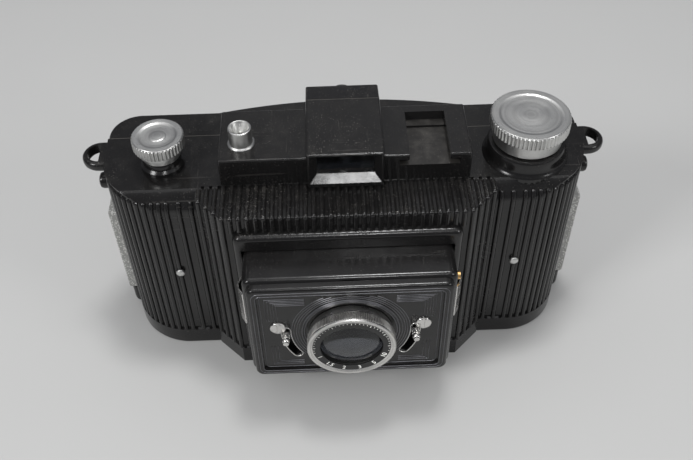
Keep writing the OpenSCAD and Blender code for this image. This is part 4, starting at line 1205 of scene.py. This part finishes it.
class CAMERA_OT_lens(Maker, bpy.types.Operator):
    """Turns the knurled lens ring, its marks and its front glass"""
    bl_idname = "camera.lens"
    bl_label = "Lens"

    def make(self, scene):
        run = RING_HI.y - RING_LO.y
        radius = RING_HI.x - RING_MID.x
        place = along_y((0, RING_HI.y, LENS_Z))
        bore = 12.05 * MM
        root = radius - 0.28 * MM
        profile = [(bore, 0), *inside(radius, 0, [(1.1, 0), (0.85, 0.2), (0.6, 2.3), (0.5, 2.6)]),
                   (root, 2.75 * MM), (root, 5.95 * MM), *inside(radius, 0, [(0.02, 6.05), (0.04, 6.35)]),
                   *inside(radius, run, [(0.2, -0.12), (0.5, 0), (1.1, -0.08), (1.75, -0.5), (1.8, -0.75)]),
                   (bore, run - 0.85 * MM), (bore, 0)]
        teeth = scene.camera_trim.ring_teeth
        ring = knurled("lens_ring", lathe("ring", profile, 160, place), "lens_metal", place,
                       teeth, root, 0.72, 0.24 * MM, 3.0 * MM, 5.9 * MM, 0.15 * MM)
        finish_piece(ring, "focus", "lens_metal", ["focus_ring"], 28)
        self.front_glass()
        self.marks()

    def front_glass(self):
        """The front lens, with a flat back and a bulging front."""
        low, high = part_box("front_lens")
        radius = high.x - RING_MID.x - 0.03 * MM
        deep = high.y - low.y - 0.005 * MM
        curve_r = 2.8 * radius
        profile = [(0, 0), (radius, 0)]
        for i in range(17):
            r = radius * (1 - i / 16)
            profile.append((r, deep - curve_r + math.sqrt(curve_r ** 2 - r ** 2)))
        glass = lathe("front_glass", profile, 96, along_y((0, high.y, LENS_Z)))
        finish_piece(glass, "focus", "glass", ["front_lens"], 40)

    def marks(self):
        """Distance numbers along the lower side of the black ring, and ticks round the rest of it."""
        face_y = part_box("mark_ring")[0].y
        circle = 11.25 * MM
        outer = circle + 0.9 * MM
        half = 0.09 * MM                 # half the width of a tick
        pieces = []
        for i, label in enumerate(["1", "1.5", "2", "3", "5", "10"]):
            angle = math.radians(205 + 26 * i)
            spot = Matrix.Translation((circle * math.cos(angle), face_y - 0.02 * MM,
                                       LENS_Z + circle * math.sin(angle)))
            upright = Matrix.Rotation(math.radians(90), 4, "X")
            pieces.append(number(label, spot @ Matrix.Rotation(-(angle + math.pi / 2), 4, "Y") @ upright))
        for i in range(60):
            turn = 6 * i
            if 195 < turn < 345:
                continue
            inner = outer - (0.75 if i % 5 == 0 else 0.4) * MM
            along = Vector((math.cos(math.radians(turn)), math.sin(math.radians(turn))))
            across = half * Vector((-along.y, along.x))
            corners = [outer * along - across, outer * along + across,
                       inner * along + across, inner * along - across]
            pieces.append(loft("tick", [[(x, y, LENS_Z + z) for x, z in corners]
                                        for y in (face_y + 0.01 * MM, face_y - 0.03 * MM)]))
        finish_piece(joined("distance_marks", pieces), "focus", "marks")


def number(label, place):
    """A distance number as a mesh, with its place in the mesh."""
    text = bpy.data.curves.new("number", "FONT")
    text.body = label
    text.size = 2.3 * MM
    text.align_x = "CENTER"
    text.align_y = "CENTER"
    text.extrude = 0.02 * MM
    holder = placed("number", text)
    bpy.context.view_layer.update()
    mesh = bpy.data.meshes.new_from_object(holder.evaluated_get(bpy.context.evaluated_depsgraph_get()))
    bpy.data.objects.remove(holder)
    mesh.transform(place)
    return placed("number", mesh)


# Latches and back

class CAMERA_OT_latches(Maker, bpy.types.Operator):
    """Makes the two latch strips with rounded edges and a crinkle finish"""
    bl_idname = "camera.latches"
    bl_label = "Latches"

    def make(self, scene):
        for side in ("left", "right"):
            node = "latch_" + side
            low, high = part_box(node)
            inner = low.x if side == "right" else high.x
            form = rounded_block("latch_form", [c + SKIN for c in low], [c - SKIN for c in high], 0.7 * MM,
                                 lambda p: abs(p.x - inner) > 0.3 * MM, 3)
            round_off(node, node + "_strip", node + "_body", "crinkle", form, slot="turned_metal")


class CAMERA_OT_back(Maker, bpy.types.Operator):
    """Makes the back cover with rounded edges and a bowed middle"""
    bl_idname = "camera.back"
    bl_label = "Back cover"

    def make(self, scene):
        end_x = scene.camera_body.end_x
        rear_r = 10 * MM                 # radius of the rear corners
        wing_rear = 25 * MM              # depth of the wings behind the spool axes
        middle_rear = 30 * MM            # depth of the bowed middle
        inner_y = 11 * MM                # the form begins here, inside the body
        chord = 44 * MM                  # half the width of the bow
        rise = middle_rear - wing_rear + 0.6 * MM
        bow_r = (chord ** 2 + rise ** 2) / (2 * rise)
        levels = inside(0, 0, [(-1.1, 0), (-0.4, 0.25), (-0.1, 0.7), (-0.02, 1.2)])
        levels += [(inset, BACK_HI.z - SKIN - height) for inset, height in levels[::-1]]
        levels[0] = (levels[0][0], -0.5 * MM)
        sections = []
        for inset, height in levels:
            corner = arc(end_x - rear_r, wing_rear - rear_r, rear_r - inset, 0, 90, 12)
            off = wing_rear - inset - middle_rear + bow_r
            edge = math.degrees(math.atan2(off, math.sqrt((bow_r - inset) ** 2 - off ** 2)))
            bow = arc(0, middle_rear - bow_r, bow_r - inset, edge, 180 - edge, 40)
            outline = [(end_x - inset, inner_y)] + corner + bow
            outline += [(-x, y) for x, y in corner[::-1]] + [(-end_x + inset, inner_y)]
            sections.append(level(outline, height))
        shell = loft("back_form", sections)
        cover_lo, cover_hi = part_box("window_rails")
        land = rounded_block("land_form", (cover_lo.x + SKIN, 20 * MM, cover_lo.z - 0.6 * MM + SKIN),
                             (cover_hi.x - SKIN, BACK_HI.y - SKIN, cover_hi.z + 0.6 * MM - SKIN), 0.8 * MM,
                             lambda p: p.y > 25 * MM)
        round_off("back_cover", "back_moulding", "back", "resin", shell, land)


# Finishes and stage

class CAMERA_OT_finishes(Maker, bpy.types.Operator):
    """Mixes the finishes and gives each construction node its own"""
    bl_idname = "camera.finishes"
    bl_label = "Finishes"

    def make(self, scene):
        look = scene.camera_looks
        STATE.update(
            resin=moulding("resin_gloss", look),
            plate_resin=moulding("resin_plate", look, dust=0.35),
            # The face plate's raised resin lines get a grey metal finish: a painted sheen that makes them
            # read as bright lines on the black plate.
            line_resin=metal("line_sheen", (0.17, 0.17, 0.18), 0.3, wear=0.5),
            box_resin=moulding("resin_box", look, dust=0.3),
            deck_resin=moulding("resin_deck", look, hollow=DECK_HI.z - MM),
            rib_resin=moulding("resin_ribs", look, dust=1.6),
            wing_resin=moulding("resin_wing_ribs", look, dust=0.7),
            inner=matt_black("inner_black", (0.012, 0.012, 0.012)),
            winding=turned("turned_winding", look.bare, 0.32, KNOB_MID, "Z"),
            supply=turned("turned_supply", look.bare, 0.32, SUPPLY_MID, "Z"),
            button=turned("turned_button", look.bare, 0.30, BUTTON_MID, "Z"),
            lens_metal=turned("turned_lens", look.plate, 0.24, RING_MID, "Y"),
            rivet=metal("rivet_metal", look.bare, 0.28),
            plated=metal("plating", look.plate, 0.18, wear=0.2, relief=0.08),
            steel=metal("spring_steel", look.steel, 0.34, (0.06, 1, 1)),
            blued=metal("blued_steel", (0.06, 0.065, 0.08), 0.35, (0.06, 1, 1)),
            brass=metal("bare_brass", look.brass, 0.30),
            sheet=metal("sheet_metal", look.bare, 0.30, (0.05, 1, 1)),
            crinkle=crinkle("latch_crinkle", (0.70, 0.70, 0.67)),
            lacquer=lacquer("black_lacquer", (0.012, 0.012, 0.012), look.steel),
            ring_black=lacquer("ring_black", (0.008, 0.008, 0.008), (0.02, 0.02, 0.02)),
            marks=matt_black("mark_paint", look.marks),
            glass=coated_glass("coated_glass", look.coating, 1.0),
            finder_glass=coated_glass("finder_glass", (0.50, 0.56, 0.64), 1.0),
            red=coated_glass("red_glass", look.red, 0.7),
        )
        STATE.update(ring=ring_of_units(), row=row_on_path(), heads=heads_on_points())
        by_slot = {"bakelite": "resin", "inner_black": "inner", "turned_metal": "sheet", "plated": "plated",
                   "spring_steel": "steel", "lacquered": "lacquer", "brass": "brass", "lens_glass": "glass",
                   "red_glass": "red"}
        own = {"finder_front_lens": "finder_glass", "finder_rear_lens": "finder_glass",
               "shutter_blade": "blued", "shutter_plate": "blued", "mark_ring": "ring_black",
               "winding_shaft": "winding", "wing_rivets": "rivet", "end_rivets": "rivet",
               "latch_rivets": "rivet", "lens_barrel": "inner"}
        for part in frame["record"]["subparts"]:
            node = frame["nodes"][part["node"]]
            finish = STATE[own.get(part["node"], by_slot[part["material_slot"]])]
            if not node.material_slots:
                node.data.materials.append(finish)
            for slot in node.material_slots:
                slot.material = finish


class CAMERA_OT_stage(Maker, bpy.types.Operator):
    """Sets the pale floor, the soft lamps and the camera"""
    bl_idname = "camera.stage"
    bl_label = "Stage"

    def make(self, scene):
        scene.view_settings.view_transform = "Standard"
        self.floor(scene.camera_looks)
        self.lamps()
        self.view(scene.camera_stage)

    def floor(self, look):
        f = Finish("floor_paint")
        tone = f.mix(f.noise(14, 3), rgb(look.floor), rgb(look.floor, 0.97))
        paint_finish = f.surface(tone, f.noise(40, 3) * 0.1 + 0.55, f.bump(f.noise(500, 3), 0.05, 0.0001))
        half, low = 3, -0.02 * MM
        corners = [(-half, -half, low), (half, -half, low), (half, half, low), (-half, half, low)]
        floor = stand_in("floor", corners, [(0, 1, 2, 3)])
        floor.data.materials.append(paint_finish)

    def lamps(self):
        """Sets the lamps, as name, place, width and power, and the dim light all round."""
        aim = Vector((0, 0, 0.04))
        for name, spot, size, power in [
                ("key_lamp", (-0.75, -0.55, 0.75), 0.30, 4.6), ("soft_box", (0, 0, 0.90), 1.2, 3.0),
                ("top_lamp", (0.06, 0.10, 0.90), 0.14, 2.2), ("side_lamp", (0.75, -0.45, 0.55), 0.25, 1.6),
                ("front_lamp", (0.03, -0.42, 0.56), 0.06, 0.5),
                ("back_lamp", (0.05, 0.80, 0.82), 0.45, 0.12)]:
            light = bpy.data.lights.new(name, "AREA")
            light.size = size
            light.energy = power
            lamp = placed(name, light)
            lamp.location = spot
            lamp.rotation_euler = (aim - Vector(spot)).to_track_quat("-Z", "Y").to_euler()
        world = bpy.data.worlds.new("studio")
        world.use_nodes = True
        sky = Nodes(world.node_tree)
        world.node_tree.nodes.clear()
        glow = sky.node("ShaderNodeBackground", None, {"Color": (0.9, 0.92, 1.0, 1.0), "Strength": 0.18})
        sky.node("ShaderNodeOutputWorld", None, {"Surface": glow})
        bpy.context.scene.world = world

    def view(self, stage):
        """Sets the camera where the photograph was taken from."""
        view = bpy.data.cameras.new("view")
        view.lens = stage.focal
        view.sensor_width = 36.0
        view.clip_start = 0.01
        across = Vector((math.cos(stage.yaw), -math.sin(stage.yaw), 0))
        flat = math.cos(stage.pitch)
        ahead = Vector((math.sin(stage.yaw) * flat, math.cos(stage.yaw) * flat, -math.sin(stage.pitch)))
        rise = across.cross(ahead)
        right = across * math.cos(stage.roll) + rise * math.sin(stage.roll)
        up = rise * math.cos(stage.roll) - across * math.sin(stage.roll)
        seat = placed("view", view)
        seat.matrix_world = Matrix.Translation(stage.eye) @ Matrix((right, up, -ahead)).transposed().to_4x4()
        bpy.context.scene.camera = seat


class CAMERA_PT_parts(bpy.types.Panel):
    """Lists the camera's sizes and colours, and what makes its pieces"""
    bl_idname = "CAMERA_PT_parts"
    bl_label = "Roll-film camera"
    bl_space_type = "VIEW_3D"
    bl_region_type = "UI"
    bl_category = "Camera"

    def draw(self, context):
        for name in GROUPS:
            group = getattr(context.scene, name)
            for key in group.__annotations__:
                self.layout.prop(group, key)
        for operator in OPERATORS:
            self.layout.operator(operator.bl_idname)


OPERATORS = (
    CAMERA_OT_stage, CAMERA_OT_finishes, CAMERA_OT_front_body, CAMERA_OT_wing_ribs, CAMERA_OT_bulge_ribs,
    CAMERA_OT_deck, CAMERA_OT_knobs, CAMERA_OT_release, CAMERA_OT_lens_box, CAMERA_OT_face_plate,
    CAMERA_OT_slots, CAMERA_OT_fasteners, CAMERA_OT_lens, CAMERA_OT_latches, CAMERA_OT_back,
)
GROUPS = {"camera_body": BodySizes, "camera_trim": TrimSizes, "camera_looks": Looks,
          "camera_stage": StageSizes}


def register():
    for kind in (*GROUPS.values(), *OPERATORS, CAMERA_PT_parts):
        bpy.utils.register_class(kind)
    for name, kind in GROUPS.items():
        setattr(bpy.types.Scene, name, PointerProperty(type=kind))


def unregister():
    for name in GROUPS:
        delattr(bpy.types.Scene, name)
    for kind in reversed((*GROUPS.values(), *OPERATORS, CAMERA_PT_parts)):
        bpy.utils.unregister_class(kind)


def main():
    register()
    for operator in OPERATORS:
        group, name = operator.bl_idname.split(".")
        getattr(getattr(bpy.ops, group), name)()


if __name__ == "__main__":
    main()
